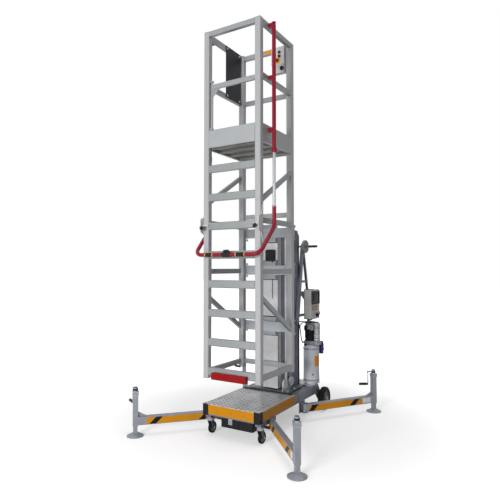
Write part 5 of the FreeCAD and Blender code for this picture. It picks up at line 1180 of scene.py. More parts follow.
for corner in CORNERS:
    pivot, way, side, length = arm_frame(corner)
    foot = np.array([*(pivot + way * length), 0.0])
    arm_angle = np.arctan2(way[1], way[0])
    crank_angle = np.radians(CRANK_WAYS[corner])
    body = f"outrigger_{corner}"
    dark = [moved(cap_top, foot + (0, 0, JACK_TOP)),
            moved(seal_ring, foot + (0, 0, COLLAR_TOP + SEAL_LIFT)),
            turned_about(crank_grip, crank_angle, foot)]
    piece(f"jack_cap_{corner}", body, joined(dark), black_moulding)
    metal = [moved(screw_top, foot + (0, 0, JACK_TOP + 0.003)),
             moved(head_ring, foot + (0, 0, COLLAR_TOP))]
    metal += [turned_about(square_ring, arm_angle + np.pi / 4, foot + (0, 0, level))
              for level in (COLLAR_LOW, COLLAR_TOP - COLLAR_TALL)]
    metal.append(turned_about(crank_nut, crank_angle, foot))
    piece(f"jack_rings_{corner}", body, joined(metal), bright_steel)
    ribs = around_z(foot_rib(), FOOT_RIBS, foot, arm_angle + np.pi / 8)
    piece(f"foot_ribs_{corner}", f"jack_leg_{corner}", joined(ribs), zinc)

# %% [markdown]
# The guard bar's front carries two tape rings and a black clamp. A ring could be
# a band of colour in the bar's finish, but tape has an edge that catches light.
# So each is a short sleeve a little wider than the bar, with rounded lips.

# %% Guard bar
BAR_RADIUS = 0.019
BAR_TAPES = ((-0.237, -0.145), (0.110, 0.213))
TAPE_EDGE = 0.008
LIP = 0.0008
BITE = 0.001
bar_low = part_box("guard_bar")[0]
BAR_Y = bar_low[1] + BAR_RADIUS
BAR_Z = bar_low[2] + BAR_RADIUS


def ring_on_bar(start, end, thick):
    """A sleeve about the bar: radius profile over x with rounded lips."""
    radius, inside, long = BAR_RADIUS + thick, BAR_RADIUS - BITE, end - start
    profile = [[inside, 0], [radius, LIP], [radius, long - LIP], [inside, long]]
    return turned_to(lathe(profile, 20), SIDEWAYS, (start, BAR_Y, BAR_Z))


yellow_rings = [ring_on_bar(start, end, 0.0008) for start, end in BAR_TAPES]
piece("bar_tape_yellow", "guard_bar", joined(yellow_rings), plain_yellow)
black_rings = [ring_on_bar(start + TAPE_EDGE, end - TAPE_EDGE, 0.0016)
               for start, end in BAR_TAPES]
clamp = [
    ring_on_bar(-0.040, 0.052, 0.005),
    block((-0.026, BAR_Y - 0.012, BAR_Z + 0.012), (0.030, BAR_Y + 0.014, BAR_Z + 0.046), 0.006),
    turned_to(knob(0.011, 0.022, 0.4), FRONT, (0.004, BAR_Y - 0.010, BAR_Z + 0.030))]
piece("bar_clamp", "guard_bar", joined(black_rings + clamp), black_moulding)

# %% [markdown]
# The bar slides on two rods in red sleeves. A cap closes each sleeve above, a
# collar stands round its mouth below, and a bright shoulder ends the rod on the
# bar. Cap and collar ride on the cage and the shoulder on the bar, so they part
# when the bar drops. The collar is a ring, because the rod runs through it.

# %% Sleeves of the guard bar
sleeve_low, sleeve_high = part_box("guard_sleeves")
rod_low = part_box("guard_rods")[0]
SLEEVE_X = sleeve_high[0] - 0.025
SLEEVE_Y = (sleeve_low[1] + sleeve_high[1]) / 2

cap = lathe([
    [0, -0.004], [0.0195, -0.004], [0.0205, 0.001], [0.0195, 0.006], [0.012, 0.010],
    [0, 0.011]], 20)
collar = lathe([
    [0.0180, -0.001], [0.0245, -0.001], [0.0262, 0.002], [0.0262, 0.024], [0.0245, 0.028],
    [0.0180, 0.028]], 24)
shoulder = lathe([
    [0.0155, -0.010], [0.0198, -0.010], [0.0198, 0.002], [0.0182, 0.005], [0.0155, 0.005]], 24)


def at_both_sleeves(level):
    """The two places on the sleeves' axes at a height."""
    return [(sign * SLEEVE_X, SLEEVE_Y, level) for sign in SIGNS]


piece("sleeve_caps", "cage", copies(cap, at_both_sleeves(sleeve_high[2])), deep_red)
piece("sleeve_collars", "cage", copies(collar, at_both_sleeves(sleeve_low[2])), deep_red)
piece("bar_shoulders", "guard_bar", copies(shoulder, at_both_sleeves(rod_low[2])),
      bright_steel)

# %% [markdown]
# The upper control box is a grey case with a lid, held by four screws. The case
# is in the frame already. Its lid is a plate a millimetre proud of the face, and
# the joint between lid and case is a black band round it, because a real gap
# would have to be cut into the frame's mesh.

# %% Upper control box: the case
CONSOLE_FACE = -0.029
CASE_LOW = 3.735
LID_EDGE = 0.004
SEAM_EDGE = 0.006
SEAM_PROUD = 0.0008
SCREW_INSET = 0.013

console_low, console_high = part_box("console")
lid = block((console_low[0] + LID_EDGE, CONSOLE_FACE - 0.0012, CASE_LOW + LID_EDGE),
            (console_high[0] - LID_EDGE, CONSOLE_FACE + 0.002, console_high[2] - LID_EDGE),
            0.001, axis=1)
seam = block(
    (console_low[0] - SEAM_PROUD, CONSOLE_FACE + 0.012, CASE_LOW + SEAM_EDGE),
    (console_high[0] + SEAM_PROUD, CONSOLE_FACE + 0.0145, console_high[2] - SEAM_EDGE),
    0.0006, axis=1)
piece("console_lid", "cage", lid, light_grey)
piece("console_seam", "cage", seam, black_moulding)
screws = copies(turned_to(knob(0.0035, 0.0018, 0.6, 10), FRONT), [
    (x, CONSOLE_FACE - 0.001, z)
    for x in (console_low[0] + SCREW_INSET, console_high[0] - SCREW_INSET)
    for z in (CASE_LOW + SCREW_INSET, console_high[2] - SCREW_INSET)])
piece("console_screws", "cage", screws, bright_steel)

# %% [markdown]
# On the lid sit two black push buttons one above the other, and a red mushroom
# head on a yellow disc. The forms are in the frame already, in the case's grey,
# so each gets a thin skin of its own colour: a lathe a fraction of a millimetre
# larger than what it covers. The socket underneath gets a ring of the same kind.

# %% Upper control box: the buttons
BUTTONS = ((0.207, 3.865), (0.207, 3.824))
STOP_AT = (0.186, CONSOLE_FACE, 3.780)
SOCKET_AT = (0.235, -0.021, 3.693)

button_skin = lathe([
    [0, 0.0005], [0.0166, 0.0005], [0.0166, 0.0052], [0.0126, 0.0076], [0.0126, 0.0132],
    [0.0112, 0.0146], [0, 0.0146]], 24)
socket_skin = lathe([
    [0.0145, 0.0008], [0.0226, 0.0008], [0.0226, 0.0130], [0.0212, 0.0146],
    [0.0145, 0.0146], [0.0142, 0.0130], [0.0142, 0.0036], [0, 0.0036], [0, 0.0030],
    [0.0142, 0.0030]], 28)
disc_skin = lathe([
    [0, 0.0012], [0.0324, 0.0012], [0.0326, 0.0022], [0.0318, 0.0034], [0, 0.0034]], 32)
head_skin = lathe([
    [0, 0.003], [0.0114, 0.003], [0.0114, 0.0118], [0.0195, 0.0140], [0.0206, 0.0150],
    [0.0206, 0.0190], [0.0178, 0.0226], [0.0140, 0.0246], [0, 0.0248]], 28)

skins = [turned_to(button_skin, FRONT, (x, CONSOLE_FACE, z)) for x, z in BUTTONS]
skins.append(turned_to(socket_skin, FRONT, SOCKET_AT))
piece("console_buttons", "cage", joined(skins), black_moulding)
piece("stop_disc", "cage", turned_to(disc_skin, FRONT, STOP_AT), plain_yellow)
piece("stop_head", "cage", turned_to(head_skin, FRONT, STOP_AT), bright_red)

# %% [markdown]
# The lower control cabinet has a door with hinges and a black hood round its
# display. The hood is a form of the frame, so it gets a black skin: a ring whose
# profile is carried round the four corners of a rectangle. A block with a hole
# would need a cut, and this needs none.

# %% Lower control cabinet: door and display
CABINET_FACE = 0.273
DOOR_YS = (0.604, 0.831)
HOOD_LOW = (0.607, 1.197)
HOOD_HIGH = (0.828, 1.347)
HOOD_RIM = 0.012
HOOD_OUT = 0.008
GLASS_OUT = 0.003
SKIN = 0.0006
ROUNDING = 0.08

cabinet_low, cabinet_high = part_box("control_cabinet")


def rim_frame(low, high, rim, near, far):
    """A flat ring round a rectangle: a profile of six points carried round its corners."""
    corners = np.array([[0, 0], [1, 0], [1, 1], [0, 1]], float)
    low, high = np.array(low), np.array(high)
    outside = low + corners * (high - low)
    inside = low + rim + corners * (high - low - 2 * rim)
    across = (inside - outside) * ROUNDING
    rings = [(outside, near), (outside, far - SKIN), (outside + across, far),
             (inside - across, far), (inside, far - SKIN), (inside, near)]
    return grid(np.stack([
        np.concatenate([np.full((4, 1), depth), ring], axis=1) for ring, depth in rings]),
        around=True, along=True)


door = block((CABINET_FACE - 0.001, DOOR_YS[0], cabinet_low[2] + 0.004),
             (CABINET_FACE + 0.0014, DOOR_YS[1], cabinet_high[2] - 0.004), 0.0012, axis=0)
piece("cabinet_door", "chassis", door, light_grey)
hood = rim_frame((HOOD_LOW[0] - SKIN, HOOD_LOW[1] - SKIN),
                 (HOOD_HIGH[0] + SKIN, HOOD_HIGH[1] + SKIN),
                 HOOD_RIM + 2 * SKIN, CABINET_FACE, CABINET_FACE + HOOD_OUT + SKIN)
piece("display_hood", "chassis", hood, black_moulding)
glass = block((CABINET_FACE, HOOD_LOW[0] + HOOD_RIM, HOOD_LOW[1] + HOOD_RIM),
              (CABINET_FACE + GLASS_OUT + SKIN, HOOD_HIGH[0] - HOOD_RIM,
               HOOD_HIGH[1] - HOOD_RIM), 0.0004, axis=0)
piece("display_glass", "chassis", glass, display_glass)
hinges = [block((CABINET_FACE - 0.004, 0.8300, z), (CABINET_FACE + 0.006, 0.8390, z + 0.034),
                0.003) for z in (cabinet_low[2] + 0.04, cabinet_high[2] - 0.08)]
piece("cabinet_hinges", "chassis", joined(hinges), black_moulding)

# %% [markdown]
# Below the display are a blank label and a selector knob, and glands underneath
# take the cables in. The knob's skin is a lathe with a small grip bar across it,
# which shows the way it points.

# %% Lower control cabinet: label, knob and glands
SELECTOR_AT = (0.755, 1.072)
GLAND_X = 0.215
GLAND_YS = (0.64, 0.69, 0.74)

label = block((CABINET_FACE + 0.0010, 0.624, 1.127), (CABINET_FACE + 0.0024, 0.786, 1.185),
              0.0009, axis=0)
piece("cabinet_label", "chassis", label, plain_brown)
knob_skin = lathe([
    [0, 0.001], [0.0247, 0.001], [0.0247, 0.0076], [0.0225, 0.0088], [0.0186, 0.0088],
    [0.0182, 0.0225], [0.0168, 0.0247], [0, 0.0247]], 28)
grip_bar = block(
    (CABINET_FACE + 0.022, SELECTOR_AT[0] - 0.0035, SELECTOR_AT[1] - 0.016),
    (CABINET_FACE + 0.028, SELECTOR_AT[0] + 0.0035, SELECTOR_AT[1] + 0.016), 0.0025, axis=0)
selector = joined([turned_to(knob_skin, SIDEWAYS, (CABINET_FACE, *SELECTOR_AT)), grip_bar])
piece("cabinet_selector", "chassis", selector, black_moulding)
gland = lathe([
    [0, 0.004], [0.012, 0.004], [0.012, -0.006], [0.0105, -0.008], [0.0105, -0.018],
    [0.008, -0.022], [0, -0.022]], 12)
glands = copies(gland, [(GLAND_X, y, cabinet_low[2]) for y in GLAND_YS])
piece("cabinet_glands", "chassis", glands, black_moulding)

# %% [markdown]
# The power unit stands on a white tank with clamp rings, a filler cap, a sight
# plug and a blank label. The label is a plate bent round the tank: a flat plate
# would stand off at its ends, and one cut from the tank's mesh would flicker.

# %% Power unit: the tank
TANK_AT = (0.245, 0.662)
TANK_RADIUS = 0.090
TANK_BANDS = (0.352, 0.700)
FILLER_AT = (0.200, 0.600)
SIGHT_AT = (TANK_AT[0] + 0.0475, TANK_AT[1] - 0.0725, 0.42)
SIGHT_WAY = (0.55, -0.83, 0)

tank_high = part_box("oil_tank")[1]


def wrapped_plate(centre, radius, start, end, low, high, thick):
    """A plate bent round a cylinder: angle from start to end, height from low to high."""
    angle = np.linspace(start, end, 14)
    inner, outer = radius - 0.0005, radius + thick
    ring_radius = np.array([outer, outer, inner, inner])
    ring_height = np.array([low, high, high, low])
    return capped(np.stack([
        centre[0] + np.cos(angle)[:, None] * ring_radius,
        centre[1] + np.sin(angle)[:, None] * ring_radius,
        np.broadcast_to(ring_height, (len(angle), 4))], axis=-1))


tank_label = wrapped_plate(
    TANK_AT, TANK_RADIUS, np.radians(-43), np.radians(8), 0.510, 0.625, 0.0008)
piece("tank_label", "chassis", tank_label, plain_orange)
band = lathe([
    [TANK_RADIUS - 0.001, -0.010], [TANK_RADIUS + 0.002, -0.009],
    [TANK_RADIUS + 0.002, 0.009], [TANK_RADIUS - 0.001, 0.010]], 48)
piece("tank_bands", "chassis", copies(band, [(*TANK_AT, z) for z in TANK_BANDS]), zinc)
filler = turned_to(knob(0.017, 0.016, 0.3), UP, (*FILLER_AT, tank_high[2] - 0.006))
sight = turned_to(puck(0.008, 0.010, 10), SIGHT_WAY, SIGHT_AT)
piece("tank_fittings", "chassis", joined([filler, sight]), black_moulding)

# %% [markdown]
# Over the tank stands the electric motor. Its cooling fins are one thin block
# repeated round the axis, which casts the real shadows that a bump map wouldn't.
# A hood above, a flange below and a terminal box at the front complete it.

# %% Power unit: the motor
MOTOR_AT = (0.228, 0.662)
MOTOR_RADIUS = 0.050
MOTOR_LOW, MOTOR_HIGH = 0.786, 0.965
FINS = 20

fin = block((MOTOR_RADIUS - 0.002, -0.0015, MOTOR_LOW + 0.028),
            (MOTOR_RADIUS + 0.007, 0.0015, MOTOR_HIGH - 0.040), 0.001, arcs=2)
motor_hood = lathe([
    [MOTOR_RADIUS + 0.001, -0.036], [MOTOR_RADIUS + 0.004, -0.034],
    [MOTOR_RADIUS + 0.004, 0.000], [MOTOR_RADIUS - 0.006, 0.008],
    [MOTOR_RADIUS - 0.014, 0.008]], 32)
flange = lathe([
    [MOTOR_RADIUS - 0.002, 0], [MOTOR_RADIUS + 0.009, 0], [MOTOR_RADIUS + 0.009, 0.010],
    [MOTOR_RADIUS, 0.016], [MOTOR_RADIUS - 0.002, 0.016]], 32)
terminal_box = block((0.205, 0.588, 0.850), (0.262, 0.622, 0.915), 0.006)
motor_parts = around_z(fin, FINS, (*MOTOR_AT, 0)) + [
    moved(motor_hood, (*MOTOR_AT, MOTOR_HIGH - 0.006)), moved(flange, (*MOTOR_AT, MOTOR_LOW)),
    terminal_box]
piece("motor_fins", "chassis", joined(motor_parts), black_moulding)

# %% [markdown]
# Between tank and motor lies the valve block, a bare cube of metal with screwed
# plugs on its front and side. Hexagons are lathes of six steps, so that one
# function serves plugs, nuts and bolt heads of every size.

# %% Power unit: the valve block
PLUG_LEVEL = 0.763
plugs = [turned_to(hexagon(0.013, 0.012), FRONT, (x, 0.618, PLUG_LEVEL))
         for x in (0.190, 0.232, 0.300)]
plugs += [turned_to(hexagon(0.011, 0.014), SIDEWAYS, (0.343, y, PLUG_LEVEL))
          for y in (0.640, 0.685)]
valve_block = block((0.174, 0.617, 0.739), (0.3435, 0.7065, 0.787), 0.004)
piece("valve_fittings", "chassis", joined(plugs + [valve_block]), zinc)

# %% [markdown]
# The power inlet is a round blue socket that looks down, with a flap over its
# mouth, held on an arm behind the valve block. The frame has its body, so the
# blue is a ring round it, with the flap and its hinge pin below.

# %% Power inlet
inlet_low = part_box("power_inlet")[0]
INLET_AT = np.array([0.328, 0.756, inlet_low[2]])
inlet_ring = lathe([
    [0.0200, -0.0010], [0.0245, -0.0010], [0.0250, 0.0010], [0.0250, 0.0310],
    [0.0316, 0.0370], [0.0318, 0.0510], [0.0276, 0.0570], [0.0276, 0.1020],
    [0.0230, 0.1120], [0.0200, 0.1120]], 28)
flap = turned_to(knob(0.0265, 0.0080, 0.4, 24), DOWN, INLET_AT + (0, 0, 0.001))
pin = turned_to(puck(0.0040, 0.024, 10), SIDEWAYS, INLET_AT + (-0.012, 0.0290, 0.006))
piece("inlet_socket", "chassis", joined([moved(inlet_ring, INLET_AT), flap, pin]),
      coupler_blue)

# %% [markdown]
# A rear wheel's tread is a row of rubber blocks with another on each shoulder,
# half a step on. One block is spun about the axle, as the mould does it. The hub
# has five bolts and a cap over the axle, and the cap stays still when it turns.

# %% Rear wheels
TREAD_BLOCKS = 36
HUB_BOLTS = 5
LUG_HALF = 0.0085
rear_low, rear_high = (np.array(corner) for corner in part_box("rear_tyre_right"))
REAR_RADIUS = (rear_high[2] - rear_low[2]) / 2
rear_centre = (rear_low + rear_high) / 2


def spun(shape, count, shift=0.0):
    """Copies of a shape turned about the X axis, the first by a share of a step."""
    parts = []
    for turn in range(count):
        angle = 2 * np.pi * (turn + shift) / count
        cos, sin = np.cos(angle), np.sin(angle)
        matrix = np.array([[1, 0, 0], [0, cos, sin], [0, -sin, cos]])
        parts.append((shape[0] @ matrix, shape[1]))
    return joined(parts)


tread_lug = block((-0.0095, -LUG_HALF, REAR_RADIUS - 0.003),
                  (0.0095, LUG_HALF, REAR_RADIUS + 0.0012), 0.0012, arcs=2)
shoulder_lug = block((0.0125, -LUG_HALF, REAR_RADIUS - 0.006),
                     (0.0225, LUG_HALF, REAR_RADIUS - 0.0006), 0.0012, arcs=2)
other_lug = (shoulder_lug[0] * (-1, 1, 1), shoulder_lug[1][:, ::-1])
rubber = joined([spun(tread_lug, TREAD_BLOCKS), spun(shoulder_lug, TREAD_BLOCKS, 0.5),
                 spun(other_lug, TREAD_BLOCKS, 0.5)])
hub_bolts = spun(turned_to(hexagon(0.0065, 0.006), SIDEWAYS, (0.008, 0, 0.052)), HUB_BOLTS)
axle_cap = turned_to(
    lathe([[0, 0], [0.021, 0], [0.021, 0.004], [0.015, 0.008], [0, 0.009]], 20),
    SIDEWAYS, (0.0372, 0, 0))
for hand, sign in SIDES:
    centre, body = rear_centre * (sign, 1, 1), f"rear_wheel_{hand}"
    piece(f"tyre_tread_{hand}", body, moved(rubber, centre), tyre_rubber)
    piece(f"hub_bolts_{hand}", body, moved(flipped(hub_bolts, (sign, 1, 1)), centre),
          bright_steel)
    piece(f"axle_cap_{hand}", "chassis", moved(flipped(axle_cap, (sign, 1, 1)), centre), zinc)

# %% [markdown]
# A castor swivels under a bearing of two dished plates and rolls on a bolt. The
# wheel's pale face and the bearing are turned profiles. The face rides on the
# wheel, and nuts and bearing ride on the fork, so each moves with its own joint.

# %% Castors
SWIVEL_AT = (0.280, -0.555, 0)
NUT_OUT = 0.0235

castor_disc = lathe([
    [0.006, 0.0085], [0.013, 0.0085], [0.014, 0.0085], [0.030, 0.0085], [0.034, 0.0105],
    [0.037, 0.0105], [0.0405, 0.0085], [0.0405, 0.004], [0.006, 0.004]], 28)
bearing = lathe([
    [0.010, 0.133], [0.029, 0.133], [0.032, 0.138], [0.032, 0.148], [0.027, 0.153],
    [0.033, 0.155], [0.033, 0.163], [0.010, 0.163]], 28)
axle_nut = hexagon(0.0095, 0.006)


def wheel_middle(label):
    """The middle of a node's box."""
    low, high = (np.array(corner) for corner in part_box(label))
    return (low + high) / 2


for hand, sign in SIDES:
    centre = wheel_middle(f"castor_wheel_{hand}")
    faces = [turned_to(castor_disc, (way, 0, 0), centre) for way in SIGNS]
    piece(f"castor_disc_{hand}", f"castor_wheel_{hand}", joined(faces), wheel_grey)
    nuts = [turned_to(axle_nut, (way, 0, 0), centre + (way * NUT_OUT, 0, 0)) for way in SIGNS]
    swivel = moved(bearing, np.array(SWIVEL_AT) * (sign, 1, 1))
    piece(f"castor_bearing_{hand}", f"castor_fork_{hand}", joined([swivel] + nuts),
          bright_steel)

# %% [markdown]
# Two loading wheels sit high on the push frame, for tipping the machine into a
# van. They get dished faces as the castors do, and the bar through them ends in
# rubber grips, whose waves are three swells of one turned profile.

# %% Loading wheels
GRIP_FROM = 0.259

loading_disc = lathe([
    [0.0105, 0.0152], [0.022, 0.0152], [0.024, 0.0135], [0.025, 0.0105], [0.040, 0.0095],
    [0.055, 0.0105], [0.058, 0.0105], [0.058, 0.005], [0.0105, 0.005]], 32)
push_grip = lathe([
    [0, 0], [0.012, 0], [0.0135, 0.004], [0.0125, 0.03], [0.0135, 0.06], [0.0125, 0.085],
    [0.0135, 0.095], [0.010, 0.100], [0, 0.100]], 16)
for hand, sign in SIDES:
    centre = wheel_middle(f"loading_wheel_{hand}")
    faces = [turned_to(loading_disc, (way, 0, 0), centre) for way in SIGNS]
    piece(f"loading_disc_{hand}", f"loading_wheel_{hand}", joined(faces), wheel_grey)
    start = (sign * GRIP_FROM, centre[1], centre[2])
    piece(f"push_grip_{hand}", "chassis", turned_to(push_grip, (sign, 0, 0), start),
          hose_rubber)

# %% [markdown]
# The mast's sections are dark extrusions, and the light catches each front corner
# in a bright line. A change of colour in the finish would need a mask for each
# section, so a slim strip of pale aluminium lies on each front corner instead, a
# painted highlight that rides on its own section.

# %% Mast strips
STAGE_HALF = 0.166
STRIP = 0.0007
STRIP_END = 0.01
SECTIONS = {"mast_section_3": 0.022, "mast_section_2": 0.016}


def painted_highlight(side, near, far, y, bottom, top):
    """A thin upright block between two distances from the middle, on one side."""
    x = sorted((side * near, side * far))
    return block((x[0], y[0], bottom + STRIP_END), (x[1], y[1], top - STRIP_END),
                 STRIP * 0.8, arcs=1, axis=2)


# Each pale strip is a painted highlight along a front corner of its section.
for label, wide in SECTIONS.items():
    low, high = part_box(label)
    highlights = [painted_highlight(side, STAGE_HALF - wide, STAGE_HALF - 0.002,
                           (low[1] - STRIP, low[1] + 0.001), low[2], high[2]) for side in SIGNS]
    highlights += [painted_highlight(side, STAGE_HALF - 0.001, STAGE_HALF + STRIP,
                            (low[1] + 0.004, low[1] + 0.012), low[2], high[2])
               for side in SIGNS]
    piece(f"{label}_strips", label, joined(highlights), column_aluminium)

# %% [markdown]
# Three saddles hold the cage to its column. Thin black strips over and under
# each are painted shade for the dark gaps there, and a bolt goes through each
# corner, with its head in front and a washer and nut behind. Heads and nuts are
# the same lathe of six steps, turned to face opposite ways.

# %% Saddles
SADDLES = ((0.900, 1.090), (1.495, 1.685), (1.890, 2.080))
SADDLE_BACK = 0.139
SHADE_STRIP_TALL = 0.008
SHADE_STRIP_HALF = 0.096
BOLT_X = 0.293
BOLT_INSET = 0.030

column_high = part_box("front_column")[1]
bolt_head, nut = hexagon(0.010, 0.007), hexagon(0.010, 0.008)
washer = puck(0.014, 0.0015, 16)
shade_strips, bolts, washers = [], [], []
# The black strips at each saddle's top and bottom edge are painted shade for the gaps; one more
# black strip stands upright below the middle saddle.
for low, high in SADDLES:
    for level in (low - SHADE_STRIP_TALL, high):
        if level < column_high[2]:
            shade_strips.append(block(
                (-SHADE_STRIP_HALF, SADDLE_BACK - 0.020, level),
                (SHADE_STRIP_HALF, SADDLE_BACK - 0.0005, level + SHADE_STRIP_TALL), 0.003, axis=0))
    for x, z in ((side * BOLT_X, z) for side in SIGNS for z in (low + BOLT_INSET,
                                                              high - BOLT_INSET)):
        bolts.append(turned_to(bolt_head, FRONT, (x, 0.0735, z)))
        washers.append(turned_to(washer, BACK, (x, SADDLE_BACK - 0.0005, z)))
        washers.append(turned_to(nut, BACK, (x, SADDLE_BACK + 0.0005, z)))
shade_strips.append(block((0.026, SADDLE_BACK - 0.003, 1.285), (0.034, SADDLE_BACK + 0.001, 1.490),
                    0.0015))
piece("saddle_shade_strips", "cage", joined(shade_strips), black_moulding)
piece("saddle_bolts", "cage", joined(bolts + washers), bright_steel)

# %% [markdown]
# Each section ends in a plastic cap on its top. The front of a section belongs to
# the tongues of its neighbour, which slide past the cap, so a cap starts behind
# them. One that covered the whole top would be cut through as the mast rises.

# %% Caps of the mast
TONGUE_ROOM = 0.026
CAP_DEEP = 0.080
CAP_SIDE = 0.004
CAPPED = {"mast_column": "chassis", "mast_section_2": "mast_section_2",
          "mast_section_3": "mast_section_3", "front_column": "cage"}
for label, body in CAPPED.items():
    low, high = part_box(label)
    cap = block((low[0] + CAP_SIDE, low[1] + TONGUE_ROOM, high[2] - 0.002),
                (high[0] - CAP_SIDE, low[1] + CAP_DEEP, high[2] + 0.004), 0.003)
    piece(f"{label}_cap", body, cap, black_moulding)

# %% [markdown]
# The cable duct behind the mast has a raised cover held by two rows of screws.
# The heights of both come from the duct's own box, so that the rows end where
# the cover does even if the frame is built taller.

# %% Duct cover
COVER_XS = (-0.135, 0.105)
SCREW_XS = (-0.123, 0.093)
SCREW_ROWS = 7

duct_low, duct_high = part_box("cable_duct")
cover = block((COVER_XS[0], duct_high[1] - 0.001, duct_low[2] + 0.05),
              (COVER_XS[1], duct_high[1] + 0.003, duct_high[2] - 0.06), 0.003, axis=1)
piece("duct_cover", "chassis", cover, black_sheet)
levels = np.linspace(duct_low[2] + 0.08, duct_high[2] - 0.09, SCREW_ROWS)
screws = copies(turned_to(knob(0.006, 0.003, 0.8, 12), BACK), [
    (x, duct_high[1] + 0.0025, z) for x in SCREW_XS for z in levels])
piece("duct_screws", "chassis", screws, dark_zinc)

# %% [markdown]
# The sections stand on a foot plate bolted to the cross beams, each bolt on a
# washer. The side beams are tubes, closed behind by black plates. Bolt and
# washer share one list of places, so neither can be left behind.

# %% Foot bolts and beam ends
FOOT_BOLTS = [(x, y, foot_high[2]) for x in (-0.205, 0.205) for y in (0.150, 0.300, 0.490)]
BEAM_XS = (-0.280, 0.280)
BEAM_HALF = 0.030

foot_bolts = [moved(hexagon(0.013, 0.009), place) for place in FOOT_BOLTS]
foot_bolts += [moved(puck(0.017, 0.002, 18), place) for place in FOOT_BOLTS]
piece("foot_bolts", "chassis", joined(foot_bolts), bright_steel)
beam_low, beam_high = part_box("side_beams")
ends = [block((x - BEAM_HALF, beam_high[1] - 0.001, beam_low[2]),
              (x + BEAM_HALF, beam_high[1] + 0.004, beam_high[2]), 0.004, axis=1)
        for x in BEAM_XS]
piece("beam_ends", "chassis", joined(ends), black_moulding)

# %% [markdown]
# Two grooved nylon sheaves stand at the mast's right foot. The frame has their
# form in one node with their bracket, so a finish alone can't tell them apart. A
# white skin follows their profile: hub, web, rim and the groove between its
# lips. The profile is closed, because both of its ends are off the axis.

# %% Foot sheaves
SHEAVES = ((0.110, 0.404), (0.257, 0.404))
SHEAVE_MIDDLE = 0.191

sheave = lathe([
    [0.0090, 0.0094], [0.0154, 0.0094], [0.0154, 0.0045], [0.0326, 0.0045],
    [0.0352, 0.0094], [0.0456, 0.0096], [0.0465, 0.0088], [0.0396, 0.0022],
    [0.0396, -0.0022], [0.0465, -0.0088], [0.0456, -0.0096], [0.0352, -0.0094],
    [0.0326, -0.0045], [0.0154, -0.0045], [0.0154, -0.0094], [0.0090, -0.0094]], 36)
sheave_pin = lathe([[0, 0], [0.0086, 0], [0.0086, 0.010], [0.0068, 0.012], [0, 0.012]], 16)
skins = [turned_to(sheave, SIDEWAYS, (SHEAVE_MIDDLE, y, z)) for y, z in SHEAVES]
piece("sheave_skins", "chassis", joined(skins), nylon_white)
pins = [turned_to(sheave_pin, SIDEWAYS, (SHEAVE_MIDDLE + 0.001, y, z)) for y, z in SHEAVES]
piece("sheave_pins", "chassis", joined(pins), bright_steel)

# %% [markdown]
# The deck's coloured bands are held by small bolts, and each black corner guard
# by two screws on either face. The heads are so small that six sides or twelve
# steps are enough for them.

# %% Deck bolts
BAND_MIDDLE = 0.257
GUARD_LEVELS = (0.228, 0.282)

bolt = hexagon(0.0075, 0.0045)
band_bolts = [turned_to(bolt, FRONT, (x, -0.628, BAND_MIDDLE)) for x in (-0.15, 0.0, 0.15)]
band_bolts += [turned_to(bolt, (side, 0, 0), (side * 0.313, y, BAND_MIDDLE))
               for side in SIGNS for y in (-0.42, -0.20, 0.02)]
piece("band_bolts", "chassis", joined(band_bolts), dark_zinc)
guard_screw = knob(0.006, 0.0025, 0.7, 12)
guard_screws = [turned_to(guard_screw, FRONT, (side * 0.285, -0.632, z))
                for side in SIGNS for z in GUARD_LEVELS]
guard_screws += [turned_to(guard_screw, (side, 0, 0), (side * 0.317, -0.598, z))
                 for side in SIGNS for z in GUARD_LEVELS]
piece("guard_screws", "chassis", joined(guard_screws), black_moulding)

# %% [markdown]
# Under the deck hangs a black equipment case with a lid seam, stiffening ribs
# and a pale latch. The frame has the plain box. Ribs and seam are rounded blocks
# that are sunk in its walls, so they look moulded in one piece with it.

# %% Equipment case
SEAM_LOW, SEAM_HIGH = 0.186, 0.200
SEAM_OUT = 0.005
RIB_TOP = 0.184
RIB_FOOT = 0.012
RIB_HALF = 0.006
CASE_SIDE = 0.180

case_low, case_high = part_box("equipment_case")
seam = block((case_low[0] - SEAM_OUT, case_low[1] - SEAM_OUT, SEAM_LOW),
             (case_high[0] + SEAM_OUT, case_high[1] + SEAM_OUT, SEAM_HIGH), 0.005)
ribs = [block((x - RIB_HALF, case_low[1] - 0.003, case_low[2] + RIB_FOOT),
              (x + RIB_HALF, case_low[1] + 0.004, RIB_TOP), 0.0025)
        for x in (-0.14, 0.02, 0.08, 0.14)]
ribs += [block((side * CASE_SIDE - 0.0035, y - RIB_HALF, case_low[2] + RIB_FOOT),
               (side * CASE_SIDE + 0.0035, y + RIB_HALF, RIB_TOP), 0.0025)
         for side in SIGNS for y in (-0.45, -0.37, -0.29, -0.21, -0.13)]
piece("case_ribs", "chassis", joined([seam] + ribs), black_moulding)
latch = joined([
    block((-0.091, case_low[1] - 0.008, 0.111), (-0.044, case_low[1] + 0.002, 0.176), 0.004,
          axis=1),
    block((-0.082, case_low[1] - 0.014, 0.120), (-0.053, case_low[1] - 0.006, 0.150), 0.004,
          axis=1)])
piece("case_latch", "chassis", latch, plate_zinc)

# %% [markdown]
# Two small things on the basket: a blank orange plate on the back rail, and the
# clips that hold the black side panel. A clip is a rounded block with a screw in
# it, one at each corner of the panel.

# %% Basket plate and clips
plate = block((0.000, 0.0318, 3.9055), (0.105, 0.0334, 3.9500), 0.0008, axis=1)
piece("rail_plate", "cage", plate, plain_orange)
CLIP_HALF = 0.012
clips = []
for y, z in ((y, z) for y in (-0.275, -0.040) for z in (3.424, 3.925)):
    clips.append(block((-0.2900, y - CLIP_HALF, z - CLIP_HALF),
                       (-0.2765, y + CLIP_HALF, z + CLIP_HALF), 0.002, axis=0))
    clips.append(turned_to(knob(0.006, 0.004, 0.6, 12), SIDEWAYS, (-0.2770, y, z)))
piece("panel_clips", "cage", joined(clips), bright_steel)

# %% [markdown]
# A toe board is sheet metal, and its top is rolled to a lip where a bare sheet
# would cut a hand. The lip catches the light, which a bump couldn't do on so
# thin an edge. Rivets hold the boards, and low caps close the gate's hinges.

